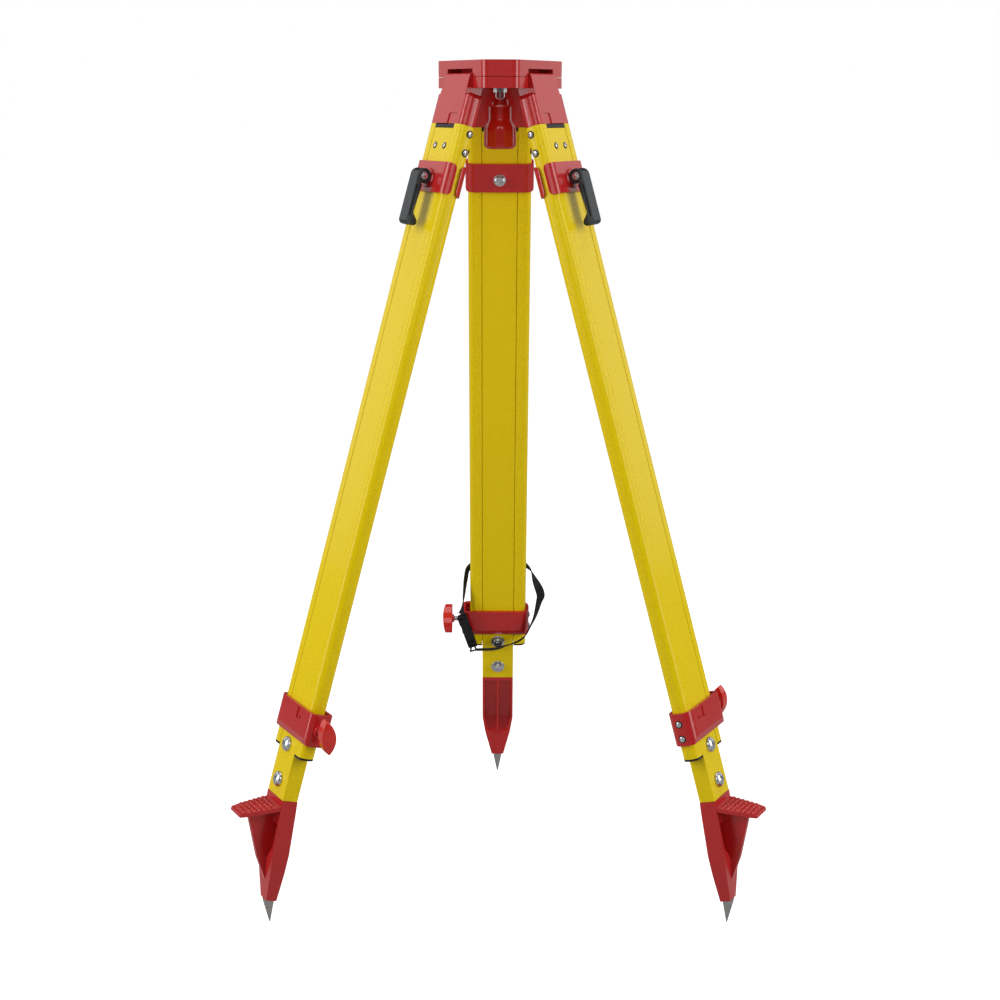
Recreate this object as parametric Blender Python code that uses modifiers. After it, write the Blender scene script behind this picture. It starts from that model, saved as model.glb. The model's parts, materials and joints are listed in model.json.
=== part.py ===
"""Surveyor's tripod: a flat head, three fibreglass telescoping legs and a central fixing screw.

Metres, +Z up. The origin is the centre of the footprint, at the level of the steel points.
Every leg piece is modelled once in leg space and placed on the three legs:
    +X out of the leg's outer face, +Y along the hinge axis, +Z up the leg, origin on the hinge axis.
A station is a distance down the leg from the hinge, so it is -Z in leg space.
"""

import math

import bmesh
import bpy
from mathutils import Matrix, Vector

# ---- driving dimensions -------------------------------------------------------------------------
LEG_LENGTH = 1.115  # hinge axis to steel tip, measured along the leg
LEG_TILT = math.radians(16.72)  # from upright, as it stands
HINGE_RADIUS = 0.0535  # tripod axis to hinge axis
HINGE_BELOW_TOP = 0.0278
TIP_INSET = 0.0277  # the steel tip lies this far inside the leg's middle plane
LEGS = (("rear", 90.0), ("left", 210.0), ("right", 330.0))
GAP = 0.0003  # between touching pieces

# ---- leg section --------------------------------------------------------------------------------
LEG_WIDTH = 0.085
LEG_THICKNESS = 0.0226
TUBE_INNER_Y = 0.02435  # flat inner wall of a side tube
TUBE_ROUND = 0.009
TUBE_WALL = 0.0025
TONGUE_HALF = 0.0015
TONGUE_HEIGHT = 0.0034
BOARD_HALF = (0.0110, 0.0239)  # half thickness and half width of the sliding inner leg
BOARD_HOLLOW = (0.0080, 0.0170)
GROOVE_HALF = 0.0020
GROOVE_DEPTH = 0.0040

# ---- stations down the leg ----------------------------------------------------------------------
CASTING_END = 0.0545
TUBES = (CASTING_END + GAP, 0.8785)
SPIGOT_END = 0.098
BOARD = (0.0603, 0.9422)
PLUG_TOP = 0.0556
PLUG_END = 0.0950
QUICK_CLAMP = (0.1040, 0.1430)
CLAMP_BOLT = 0.1260
BAND = (0.8165, 0.8590)
WING = 0.8380
FOOT_BOLTS = (0.8731, 0.9205)
FOOT_TOP = 0.9425
FOOT_END = 1.0830

# ---- head ---------------------------------------------------------------------------------------
LONG_FACET = 0.0586  # head centre to the long facets, over the legs
SHORT_FACET = 0.0817
PLATE_THICKNESS = 0.0200
RING_GAP = 0.0006
HEAD_THICKNESS = 0.0340
HEAD_BORE = 0.0310
RING_BORE = 0.0360
POCKET_HALF = 0.0325  # hinge pocket, along the hinge axis
POCKET_DEPTH = 0.0400  # head centre to the pocket's back wall
POCKET_ROOF = 0.0105
BARREL_HALF = 0.0320
BARREL_RADIUS = 0.0113
PIN_RADIUS = 0.0040
PIN_HALF = 0.0480

# ---- centring arm and fixing screw --------------------------------------------------------------
ARM_AZIMUTH = math.radians(150.0)
ARM_PIVOT = 0.0520  # head centre to the arm's pivot
ARM_HALF = 0.0105
ARM_THICKNESS = 0.0030
ARM_TOP = 0.0213  # below the head's top
ARM_REACH = 0.0760
SLOT_HALF = 0.0066
SLOT = (0.0390, 0.0650)
FAN = math.radians(20.0)
SCREW_THREAD = 0.0079

# ---- clamp hardware and foot, in leg space -------------------------------------------------------
CLAMP_CLEARANCE = 0.0004
PLATE_WALL = 0.0030
PLATE_WRAP = 0.0035  # each quick clamp plate stops this far from the leg's middle plane
CLAMP_SHAFT = 0.0040
BOLT_CLEARANCE = 0.0004
LEVER_PIVOT = (0.0265, -CLAMP_BOLT)  # X and Z
LEVER_HALF = 0.0100
LEVER_RADIUS = 0.0095
LEVER_END = 0.1895  # station
BAND_WALL = 0.0045
BAND_CHAMFER = 0.8480  # station where the chamfer at the band's lower edge starts
SCREW_SIDE = 0.0500  # inside of the band's wall that carries the wing screw
WING_LENGTH = 0.0470
WING_WIDTH = 0.0250
WING_SPAN = (0.0705, 0.0850)
WING_LEAN = {"rear": 62.0, "left": 20.0, "right": 20.0}  # degrees, as each screw was left
FOOT_BOLT_RADIUS = 0.0030
NOSE_X = -0.0172
NOSE_HALF = (0.0066, 0.0088)
POINT_RADIUS = 0.0070
STEP_REACH = 0.0600
ROUND_STEPS = 28


# ---- scene and materials ------------------------------------------------------------------------
def clear_scene():
    for item in list(bpy.data.objects):
        bpy.data.objects.remove(item, do_unlink=True)


def new_collection(name):
    collection = bpy.data.collections.new(name)
    bpy.context.scene.collection.children.link(collection)
    return collection


def new_material(name, colour, roughness, metallic=0.0):
    material = bpy.data.materials.new(name)
    material.use_nodes = True
    shader = material.node_tree.nodes["Principled BSDF"]
    shader.inputs["Base Color"].default_value = (*colour, 1.0)
    shader.inputs["Roughness"].default_value = roughness
    shader.inputs["Metallic"].default_value = metallic
    return material


clear_scene()
PARTS = new_collection("surveyor_tripod")
RED = new_material("red_paint", (0.55, 0.012, 0.012), 0.28)
YELLOW = new_material("yellow_fibreglass", (0.80, 0.58, 0.01), 0.25)
BLACK = new_material("black_plastic", (0.02, 0.023, 0.027), 0.45)
STEEL = new_material("chromed_steel", (0.75, 0.76, 0.78), 0.18, 1.0)
POINT_STEEL = new_material("plain_steel", (0.45, 0.44, 0.42), 0.35, 1.0)
WEBBING = new_material("black_webbing", (0.015, 0.015, 0.016), 0.85)


# ---- mesh helpers -------------------------------------------------------------------------------
# Directions of an outline's own x, y and depth axes for each plane it can be drawn in.
PLANES = {
    "xy": (Vector((1, 0, 0)), Vector((0, 1, 0)), Vector((0, 0, 1))),
    "yz": (Vector((0, 1, 0)), Vector((0, 0, 1)), Vector((1, 0, 0))),
    "xz": (Vector((1, 0, 0)), Vector((0, 0, 1)), Vector((0, -1, 0))),
}


def plane_matrix(plane, origin):
    x_axis, y_axis, depth_axis = PLANES[plane]
    matrix = Matrix((x_axis, y_axis, depth_axis)).transposed().to_4x4()
    matrix.translation = origin
    return matrix


def tidy_mesh(mesh, matrix):
    """Weld the caps, move the mesh by the matrix and turn its faces outwards."""
    work = bmesh.new()
    work.from_mesh(mesh)
    bmesh.ops.remove_doubles(work, verts=work.verts, dist=1e-6)
    bmesh.ops.transform(work, matrix=matrix, verts=work.verts)
    bmesh.ops.recalc_face_normals(work, faces=work.faces)
    work.to_mesh(mesh)
    work.free()
    return mesh


def curve_to_mesh(curve, matrix):
    """The mesh of a curve, with its caps welded, moved by the matrix."""
    holder = bpy.data.objects.new("outline", curve)
    PARTS.objects.link(holder)
    graph = bpy.context.evaluated_depsgraph_get()
    mesh = bpy.data.meshes.new_from_object(holder.evaluated_get(graph))
    bpy.data.objects.remove(holder, do_unlink=True)
    bpy.data.curves.remove(curve)
    return tidy_mesh(mesh, matrix)


def prism(outlines, low, high, plane="xy"):
    """Closed outlines (the first is the outside, the rest are holes) given depth from low to high.

    On the plane xz the depth runs along Y, on yz along X and on xy along Z.
    """
    curve = bpy.data.curves.new("outline", "CURVE")
    curve.dimensions = "2D"
    curve.fill_mode = "BOTH"
    curve.extrude = (high - low) / 2
    for outline in outlines:
        spline = curve.splines.new("POLY")
        spline.points.add(len(outline) - 1)
        for point, (x, y) in zip(spline.points, outline):
            point.co = (x, y, 0.0, 1.0)
        spline.use_cyclic_u = True
    middle = (low + high) / 2
    depth_axis = PLANES[plane][2]
    origin = Vector([abs(axis) * middle for axis in depth_axis])
    return curve_to_mesh(curve, plane_matrix(plane, origin))


def turned(profile, axis, origin=(0.0, 0.0, 0.0), steps=ROUND_STEPS):
    """A solid of revolution about the axis ("x", "y" or "z") through the origin.

    The profile lists (radius, height along the axis) from the top down.
    """
    mesh = bpy.data.meshes.new("profile")
    points = [(radius, 0.0, height) for radius, height in profile]
    mesh.from_pydata(points, [(i, i + 1) for i in range(len(points) - 1)], [])
    holder = bpy.data.objects.new("profile", mesh)
    PARTS.objects.link(holder)
    screw = holder.modifiers.new("turn", "SCREW")
    screw.steps = steps
    screw.render_steps = steps
    screw.use_merge_vertices = True
    screw.merge_threshold = 1e-6
    graph = bpy.context.evaluated_depsgraph_get()
    solid = bpy.data.meshes.new_from_object(holder.evaluated_get(graph))
    bpy.data.objects.remove(holder, do_unlink=True)
    bpy.data.meshes.remove(mesh)
    turn = {
        "x": Matrix.Rotation(math.pi / 2, 4, "Y"),
        "y": Matrix.Rotation(-math.pi / 2, 4, "X"),
        "z": Matrix.Identity(4),
    }[axis]
    return tidy_mesh(solid, Matrix.Translation(origin) @ turn)


def rod(radius, low, high, axis, origin=(0.0, 0.0, 0.0), steps=ROUND_STEPS):
    profile = [(0.0, high), (radius, high), (radius, low), (0.0, low)]
    return turned(profile, axis, origin, steps)


def combine(mesh, tool, operation):
    """Boolean of two meshes: DIFFERENCE, UNION or INTERSECT. Both inputs are used up."""
    target = bpy.data.objects.new("target", mesh)
    cutter = bpy.data.objects.new("cutter", tool)
    for item in (target, cutter):
        PARTS.objects.link(item)
    modifier = target.modifiers.new("boolean", "BOOLEAN")
    modifier.operation = operation
    modifier.object = cutter
    graph = bpy.context.evaluated_depsgraph_get()
    result = bpy.data.meshes.new_from_object(target.evaluated_get(graph))
    for item in (target, cutter):
        bpy.data.objects.remove(item, do_unlink=True)
    return tidy_mesh(result, Matrix.Identity(4))


def cut(mesh, *tools):
    for tool in tools:
        mesh = combine(mesh, tool, "DIFFERENCE")
    return mesh


def join(mesh, *tools):
    for tool in tools:
        mesh = combine(mesh, tool, "UNION")
    return mesh


def mirrored(mesh, axis):
    """A copy of the mesh mirrored across the plane through the origin square to the axis."""
    return tidy_mesh(mesh.copy(), Matrix.Scale(-1.0, 4, axis))


def arc(centre, radius, start, end, steps):
    """Points along an arc, angles in degrees."""
    points = []
    for i in range(steps + 1):
        angle = math.radians(start + (end - start) * i / steps)
        points.append((centre[0] + radius * math.cos(angle), centre[1] + radius * math.sin(angle)))
    return points


def rectangle(half_x, half_y, centre=(0.0, 0.0)):
    x, y = centre
    return [
        (x - half_x, y - half_y),
        (x + half_x, y - half_y),
        (x + half_x, y + half_y),
        (x - half_x, y + half_y),
    ]


def rounded(half_x, half_y, radius, centre=(0.0, 0.0), steps=4):
    """A rectangle with round corners."""
    x, y = half_x - radius, half_y - radius
    points = []
    for sign_x, sign_y, start in ((1, 1, 0), (-1, 1, 90), (-1, -1, 180), (1, -1, 270)):
        corner = (centre[0] + sign_x * x, centre[1] + sign_y * y)
        points += arc(corner, radius, start, start + 90, steps)
    return points


# ---- leg pieces, in leg space -------------------------------------------------------------------
def tube_outline(side, inset=0.0):
    """Section of one side tube: flat inner wall, rounded outer side. side is +1 or -1."""
    radius = TUBE_ROUND - inset
    centre_x = LEG_THICKNESS / 2 - TUBE_ROUND
    centre_y = LEG_WIDTH / 2 - TUBE_ROUND
    half = LEG_THICKNESS / 2 - inset
    inner = TUBE_INNER_Y + inset
    corner = arc((centre_x, centre_y), radius, 0, 90, 5) + arc((-centre_x, centre_y), radius, 90, 180, 5)
    points = [(half, inner)] + corner + [(-half, inner)]
    return [(x, side * y) for x, y in points]


def side_tube(side):
    outside = tube_outline(side)
    tongue = [
        (-TONGUE_HALF, TUBE_INNER_Y),
        (-TONGUE_HALF, TUBE_INNER_Y - TONGUE_HEIGHT),
        (TONGUE_HALF, TUBE_INNER_Y - TONGUE_HEIGHT),
        (TONGUE_HALF, TUBE_INNER_Y),
    ]
    outside += [(x, side * y) for x, y in tongue]
    hollow = tube_outline(side, TUBE_WALL)
    return prism([outside, hollow], -TUBES[1], -TUBES[0])


def stadium(inset=0.0):
    """Section of the whole leg: both rounded sides joined."""
    return rounded(LEG_THICKNESS / 2 - inset, LEG_WIDTH / 2 - inset, TUBE_ROUND - inset, steps=5)


def hinge_casting():
    """Top casting: hinge barrel, neck, shoulders and two spigots that enter the side tubes."""
    shoulder = 0.0135
    full_width = 0.0205
    lug_top = 0.0105
    lug_round = 0.0045
    body = prism([stadium()], -CASTING_END, -shoulder)
    front = [
        (-BARREL_HALF, -shoulder + GAP),
        (-LEG_WIDTH / 2 - GAP, -full_width),
        (-LEG_WIDTH / 2 - GAP, -CASTING_END - GAP),
        (LEG_WIDTH / 2 + GAP, -CASTING_END - GAP),
        (LEG_WIDTH / 2 + GAP, -full_width),
        (BARREL_HALF, -shoulder + GAP),
    ]
    body = combine(body, prism([front], -LEG_THICKNESS, LEG_THICKNESS, "yz"), "INTERSECT")
    # The outer edge of each shoulder is taken off, so that the leg clears the head as it spreads.
    chamfer = [(0.0050, -shoulder), (0.0130, -0.0192), (0.0130, -shoulder + GAP), (0.0050, -shoulder + GAP)]
    for side in (-1, 1):
        low, high = sorted((side * (BARREL_HALF + GAP), side * LEG_WIDTH))
        body = cut(body, prism([chamfer], low, high, "xz"))
    # The outer face runs up past the barrel as a squared lug that fills the head's pocket.
    side_view = arc((BARREL_RADIUS - lug_round, lug_top - lug_round), lug_round, 0, 90, 4)
    side_view += arc((0.0, 0.0), BARREL_RADIUS, 95, 180, 8)
    side_view += [(-BARREL_RADIUS, -0.0300), (BARREL_RADIUS, -0.0300)]
    neck = prism([side_view], -BARREL_HALF, BARREL_HALF, "xz")
    body = join(body, neck)
    for side in (-1, 1):
        spigot = prism([tube_outline(side, TUBE_WALL + GAP)], -SPIGOT_END, -CASTING_END + 0.002)
        body = join(body, spigot)
    return cut(body, rod(PIN_RADIUS + 0.00035, -BARREL_HALF * 2, BARREL_HALF * 2, "y"))


def board_outline():
    """Outer section of the sliding board, with a groove in each edge for the tubes' tongues."""
    half_x, half_y = BOARD_HALF
    floor = half_y - GROOVE_DEPTH
    right = [
        (half_x, half_y),
        (GROOVE_HALF, half_y),
        (GROOVE_HALF, floor),
        (-GROOVE_HALF, floor),
        (-GROOVE_HALF, half_y),
        (-half_x, half_y),
    ]
    left = [(-x, -y) for x, y in right]
    return right + left


def inner_leg():
    """Sliding board: a hollow bar, drilled for the clamp bolt and the foot bolts."""
    board = prism([board_outline(), rectangle(*BOARD_HOLLOW)], -BOARD[1], -BOARD[0])
    holes = [rod(FOOT_BOLT_RADIUS + BOLT_CLEARANCE, -0.02, 0.02, "x", (0, 0, -station), 16)
             for station in FOOT_BOLTS]
    holes.append(rod(CLAMP_SHAFT + BOLT_CLEARANCE, -0.02, 0.02, "x", (0, 0, -CLAMP_BOLT), 16))
    return cut(board, *holes)


def fill_section():
    """Section that fits inside the board with clearance."""
    return rectangle(BOARD_HOLLOW[0] - 0.0004, BOARD_HOLLOW[1] - 0.0004)


def top_plug():
    flange = prism([board_outline()], -BOARD[0] + GAP, -PLUG_TOP)
    return join(flange, prism([fill_section()], -PLUG_END, -BOARD[0] + 0.001))


def clamp_plate(side):
    """Quick clamp plate hugging one face and both rounded edges. side +1 is the outer face."""
    low, high = -QUICK_CLAMP[1], -QUICK_CLAMP[0]
    shell = prism([stadium(-CLAMP_CLEARANCE - PLATE_WALL), stadium(-CLAMP_CLEARANCE)], low, high)
    corner_round = 0.0070
    keep = rounded(LEG_WIDTH / 2 + 0.0085, (high - low) / 2, corner_round, (0.0, (low + high) / 2))
    shell = combine(shell, prism([keep], PLATE_WRAP, LEG_WIDTH, "yz"), "INTERSECT")
    if side > 0:
        boss = rod(0.0125, LEG_THICKNESS / 2 + 0.0012, 0.0167, "x", (0, 0, -CLAMP_BOLT), 20)
        shell = join(shell, boss)
    hole = rod(CLAMP_SHAFT + BOLT_CLEARANCE, 0.0, LEG_WIDTH, "x", (0, 0, -CLAMP_BOLT), 16)
    shell = cut(shell, hole)
    return shell if side > 0 else mirrored(shell, (1, 0, 0))


def clamp_bolt():
    """Bolt through the board: a hex head on the inner plate and an eye around the lever's pin."""
    head_inner, head_outer = -0.0215, -0.0150
    hexagon = arc((0.0, -CLAMP_BOLT), 0.0075, 0, 300, 5)
    bolt = prism([hexagon], head_inner, head_outer, "yz")
    shaft = rod(CLAMP_SHAFT, head_inner + 0.001, LEVER_PIVOT[0], "x", (0, 0, -CLAMP_BOLT), 16)
    eye = rod(0.0068, -0.0038, 0.0038, "y", (LEVER_PIVOT[0], 0, LEVER_PIVOT[1]), 20)
    bolt = join(bolt, shaft, eye)
    return cut(bolt, rod(0.0034, -0.01, 0.01, "y", (LEVER_PIVOT[0], 0, LEVER_PIVOT[1]), 16))


def lever_pin():
    return rod(0.0030, -LEVER_HALF - 0.0012, LEVER_HALF + 0.0012, "y",
               (LEVER_PIVOT[0], 0, LEVER_PIVOT[1]), 16)


def cam_lever():
    """Cam lever lying along the leg: forked round head, flat arm and a lip curled towards the leg."""
    pivot_x, pivot_z = LEVER_PIVOT
    outer = pivot_x + LEVER_RADIUS
    arm_inner = outer - 0.0050
    end = -LEVER_END
    outline = arc(LEVER_PIVOT, LEVER_RADIUS, 0, 300, 14)
    outline += [
        (arm_inner, pivot_z - 0.0110),
        (arm_inner, end + 0.0160),
        (outer - 0.0140, end + 0.0090),
        (outer - 0.0150, end + 0.0040),
        (outer - 0.0110, end + 0.0005),
        (outer - 0.0020, end),
        (outer + 0.0006, end + 0.0050),
        (outer + 0.0004, end + 0.0110),
    ]
    lever = prism([outline], -LEVER_HALF, LEVER_HALF, "xz")
    fork = 0.0043
    roof = outer - 0.0016
    slot = [
        (pivot_x - 0.02, pivot_z - 0.0078),
        (roof, pivot_z - 0.0078),
        (roof, pivot_z + 0.0060),
        (roof - 0.0035, pivot_z + 0.02),
        (pivot_x - 0.02, pivot_z + 0.02),
    ]
    lever = cut(lever, prism([slot], -fork, fork, "xz"))
    return cut(lever, rod(0.0034, -0.02, 0.02, "y", (pivot_x, 0, pivot_z), 16))


def band_loop(offset):
    """Outline round both tubes, standing off them on the screw's side (+Y)."""
    half_x = LEG_THICKNESS / 2 + CLAMP_CLEARANCE
    screw_round = 0.0040
    tube_round = TUBE_ROUND + CLAMP_CLEARANCE
    fixed_y = -LEG_WIDTH / 2 - CLAMP_CLEARANCE + tube_round
    screw_y = SCREW_SIDE - screw_round
    points = arc((half_x - screw_round, screw_y), screw_round + offset, 0, 90, 4)
    points += arc((-half_x + screw_round, screw_y), screw_round + offset, 90, 180, 4)
    points += arc((-half_x + tube_round, fixed_y), tube_round + offset, 180, 270, 5)
    points += arc((half_x - tube_round, fixed_y), tube_round + offset, 270, 360, 5)
    return points


def lower_clamp():
    """Clamp band around the tubes' lower ends, with a boss for the wing screw."""
    band = prism([band_loop(BAND_WALL), band_loop(0.0)], -BAND[1], -BAND[0])
    half_x = LEG_THICKNESS / 2 + CLAMP_CLEARANCE
    # The lower edge is chamfered on both faces.
    for side in (-1, 1):
        outer = side * (half_x + BAND_WALL + GAP)
        inner = side * (half_x + 0.0012)
        wedge = [(outer, -BAND_CHAMFER), (inner, -BAND[1] - GAP), (outer, -BAND[1] - GAP)]
        band = cut(band, prism([wedge], -0.08, 0.08, "xz"))
    boss_end = SCREW_SIDE + BAND_WALL + 0.0040
    boss = rod(0.0085, SCREW_SIDE + 0.0020, boss_end, "y", (0, 0, -WING), 20)
    band = join(band, boss)
    return cut(band, rod(0.0040, SCREW_SIDE - 0.005, LEG_WIDTH, "y", (0, 0, -WING), 16))


def lens(half_long, half_wide, centre_z, steps=10):
    """Pointed oval, long in Z."""
    radius = (half_long ** 2 + half_wide ** 2) / (2 * half_wide)
    sweep = math.degrees(math.asin(half_long / radius))
    points = arc((half_wide - radius, centre_z), radius, -sweep, sweep, steps)[:-1]
    return points + arc((radius - half_wide, centre_z), radius, 180 - sweep, 180 + sweep, steps)[:-1]


def wing_screw():
    """Thumb screw: pressure pad, threaded shank and a pointed oval wing."""
    pad_low = LEG_WIDTH / 2 + GAP * 2
    profile = [
        (0.0, WING_SPAN[0] + 0.0030),
        (0.0035, WING_SPAN[0] + 0.0030),
        (0.0035, pad_low + 0.0030),
        (0.0060, pad_low + 0.0030),
        (0.0060, pad_low),
        (0.0, pad_low),
    ]
    screw = turned(profile, "y", (0, 0, -WING), 16)
    wing = prism([lens(WING_LENGTH / 2, WING_WIDTH / 2, -WING)], *WING_SPAN, "xz")
    return join(screw, wing)


def foot_pocket(side):
    """Cutter for one pocket in the shoe's inner side, beside the central rib."""
    floor = [(-0.06, -0.9480), (-0.0055, -0.9480), (-0.0055, -1.0200), (-0.0205, -1.0460), (-0.06, -1.0460)]
    front = [(0.0014, -0.9480), (0.0208, -0.9480), (0.0208, -1.0140), (0.0160, -1.0380), (0.0014, -1.0455)]
    front = [(side * y, z) for y, z in front]
    return combine(prism([floor], -0.03, 0.03, "xz"), prism([front], -0.07, 0.0, "yz"), "INTERSECT")


def foot_recess():
    """Cutter for the opening under the step, which narrows to a point down the shoe's outer side."""
    floor = [(0.03, -0.9745), (-0.0030, -0.9745), (0.0005, -1.0330), (0.03, -1.0330)]
    front = [(-0.0210, -0.97), (0.0210, -0.97), (0.0210, -1.0060), (0.0, -1.0320), (-0.0210, -1.0060)]
    return combine(prism([floor], -0.03, 0.03, "xz"), prism([front], -0.02, 0.04, "yz"), "INTERSECT")


def foot_step():
    """Flat step with a tapered outline, sloping down and outwards."""
    side_view = [
        (0.0060, -0.9500),
        (STEP_REACH, -0.9675),
        (STEP_REACH, -0.9720),
        (0.0060, -0.9560),
    ]
    top_view = [
        (0.0, -0.0240),
        (STEP_REACH - 0.0100, -0.0190),
        (STEP_REACH, -0.0160),
        (STEP_REACH, 0.0160),
        (STEP_REACH - 0.0100, 0.0190),
        (0.0, 0.0240),
    ]
    return combine(prism([side_view], -0.03, 0.03, "xz"), prism([top_view], -1.0, -0.9), "INTERSECT")


def foot_casting():
    """Foot: tang inside the board, pocketed shoe bent towards upright, step and gusset."""
    half_x, half_y = BOARD_HALF
    side_view = [
        (half_x, -FOOT_TOP),
        (-half_x, -FOOT_TOP),
        (-half_x - 0.0020, -0.9600),
        (NOSE_X - NOSE_HALF[0], -FOOT_END),
        (NOSE_X + NOSE_HALF[0], -FOOT_END),
        (0.0060, -1.0150),
    ]
    front_view = [
        (half_y, -FOOT_TOP + GAP),
        (-half_y, -FOOT_TOP + GAP),
        (-half_y, -1.0150),
        (-0.0195, -1.0420),
        (-NOSE_HALF[1], -FOOT_END - GAP),
        (NOSE_HALF[1], -FOOT_END - GAP),
        (0.0195, -1.0420),
        (half_y, -1.0150),
    ]
    foot = prism([side_view], -0.04, 0.04, "xz")
    foot = combine(foot, prism([front_view], -0.08, 0.08, "yz"), "INTERSECT")
    foot = cut(foot, foot_pocket(1), foot_pocket(-1), foot_recess())
    gusset = [(-0.0050, -0.9530), (0.0450, -0.9650), (0.0420, -0.9730), (0.0160, -1.0260), (-0.0060, -1.0600)]
    gusset = prism([gusset], -0.0035, 0.0035, "xz")
    tang = prism([fill_section()], -FOOT_TOP - 0.002, -0.8620)
    foot = join(foot, foot_step(), gusset, tang)
    holes = [rod(FOOT_BOLT_RADIUS + BOLT_CLEARANCE, -0.02, 0.02, "x", (0, 0, -station), 16)
             for station in FOOT_BOLTS]
    return cut(foot, *holes)


def steel_point():
    """Conical point set under the foot. It is upright when the leg stands at its rest tilt."""
    nose = Vector((NOSE_X, 0.0, -FOOT_END - GAP))
    tip = Vector((-TIP_INSET, 0.0, -LEG_LENGTH))
    direction = tip - nose
    length = direction.length
    cone = turned([(0.0, 0.0), (POINT_RADIUS, 0.0), (0.0, -length)], "z", (0, 0, 0), 20)
    turn = Vector((0, 0, -1)).rotation_difference(direction).to_matrix().to_4x4()
    cone = tidy_mesh(cone, Matrix.Translation(nose) @ turn)
    flat = prism([rectangle(0.02, 0.02)], -LEG_LENGTH - 0.01, nose.z, "xy")
    flat = tidy_mesh(flat, Matrix.Translation((nose.x, 0, 0)))
    return combine(cone, flat, "INTERSECT")


def foot_bolt(station):
    """Through bolt: a domed head on the outer face, a washer and a hex nut on the inner face."""
    face = BOARD_HALF[0] + GAP
    profile = [
        (0.0, face + 0.0066),
        (0.0040, face + 0.0060),
        (0.0078, face + 0.0040),
        (0.0100, face + 0.0012),
        (0.0100, face),
        (FOOT_BOLT_RADIUS, face),
        (FOOT_BOLT_RADIUS, -face),
        (0.0103, -face),
        (0.0103, -face - 0.0014),
        (FOOT_BOLT_RADIUS + 0.0006, -face - 0.0014),
        (FOOT_BOLT_RADIUS + 0.0006, -face - 0.0080),
        (0.0, -face - 0.0080),
    ]
    bolt = turned(profile, "x", (0, 0, -station), 20)
    hexagon = arc((0.0, -station), 0.0076, 0, 300, 5)
    return join(bolt, prism([hexagon], -face - 0.0068, -face - 0.0010, "yz"))


def hinge_pin():
    return rod(PIN_RADIUS, -PIN_HALF, PIN_HALF, "y", steps=20)


# ---- head, in head space: origin on the tripod axis at the head's top ---------------------------
def head_outline():
    """Hexagon with long facets over the legs and short facets between them."""
    corners = []
    for index in range(6):
        facets = (LONG_FACET, SHORT_FACET) if index % 2 == 0 else (SHORT_FACET, LONG_FACET)
        first = math.radians(90 + 60 * index)
        second = first + math.radians(60)
        # The corner is where the two neighbouring facet lines cross.
        determinant = math.sin(second - first)
        x = (facets[0] * math.sin(second) - facets[1] * math.sin(first)) / determinant
        y = (facets[1] * math.cos(first) - facets[0] * math.cos(second)) / determinant
        corners.append((x, y))
    return corners


def circle(radius, centre=(0.0, 0.0), steps=ROUND_STEPS):
    return arc(centre, radius, 0, 360, steps)[:-1]


def pocket_cutter(low, high, azimuth):
    """Box cut over one hinge, open through the long facet."""
    pocket = prism([rectangle(0.03, POCKET_HALF, (POCKET_DEPTH + 0.03, 0.0))], low, high)
    return tidy_mesh(pocket, Matrix.Rotation(math.radians(azimuth), 4, "Z"))


def head_plate():
    plate = prism([head_outline(), circle(HEAD_BORE, steps=48)], -PLATE_THICKNESS, 0.0)
    for _, azimuth in LEGS:
        plate = cut(plate, pocket_cutter(-PLATE_THICKNESS - 0.001, -POCKET_ROOF, azimuth))
    return plate


def fan_outline():
    """Room for the centring arm to swing, from its pivot to the ring's bore."""
    radius = ARM_HALF + 2 * GAP
    reach = 0.0400
    half_turn = math.pi / 2 - FAN
    points = arc((ARM_PIVOT, 0.0), radius, -math.degrees(half_turn), math.degrees(half_turn), 10)
    for side in (1, -1):
        start = (ARM_PIVOT + radius * math.cos(half_turn), side * radius * math.sin(half_turn))
        points.append((start[0] - reach * math.cos(FAN), start[1] + side * reach * math.sin(FAN)))
    return points


def head_ring():
    top = -PLATE_THICKNESS - RING_GAP
    ring = prism([head_outline(), circle(RING_BORE, steps=48)], -HEAD_THICKNESS, top)
    for _, azimuth in LEGS:
        ring = cut(ring, pocket_cutter(-HEAD_THICKNESS - 0.001, top + 0.001, azimuth))
        pin_hole = rod(PIN_RADIUS + GAP, -PIN_HALF - 0.001, PIN_HALF + 0.001, "y",
                       (HINGE_RADIUS, 0, -HINGE_BELOW_TOP), 20)
        ring = cut(ring, tidy_mesh(pin_hole, Matrix.Rotation(math.radians(azimuth), 4, "Z")))
    fan = prism([fan_outline()], -ARM_TOP - ARM_THICKNESS - 0.0004, top + 0.001)
    ring = cut(ring, tidy_mesh(fan, Matrix.Rotation(ARM_AZIMUTH, 4, "Z")))
    pivot = rod(0.0030 + GAP, -HEAD_THICKNESS + 0.003, top, "z", steps=16)
    place = Matrix.Rotation(ARM_AZIMUTH, 4, "Z") @ Matrix.Translation((ARM_PIVOT, 0, 0))
    return cut(ring, tidy_mesh(pivot, place))


def swing_arm():
    """Flat slotted arm under the head plate. It is drawn along +X of the arm's azimuth."""
    far = ARM_PIVOT - ARM_REACH
    outline = arc((ARM_PIVOT, 0.0), ARM_HALF, -90, 90, 8)
    outline += arc((far + ARM_HALF, 0.0), ARM_HALF, 90, 270, 8)
    near_end = ARM_PIVOT - SLOT[0]
    far_end = ARM_PIVOT - SLOT[1]
    slot = arc((near_end, 0.0), SLOT_HALF, -90, 90, 6) + arc((far_end, 0.0), SLOT_HALF, 90, 270, 6)
    pivot_hole = circle(0.0034, (ARM_PIVOT, 0.0), 16)
    arm = prism([outline, slot, pivot_hole], -ARM_TOP - ARM_THICKNESS, -ARM_TOP)
    return tidy_mesh(arm, Matrix.Rotation(ARM_AZIMUTH, 4, "Z"))


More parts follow.
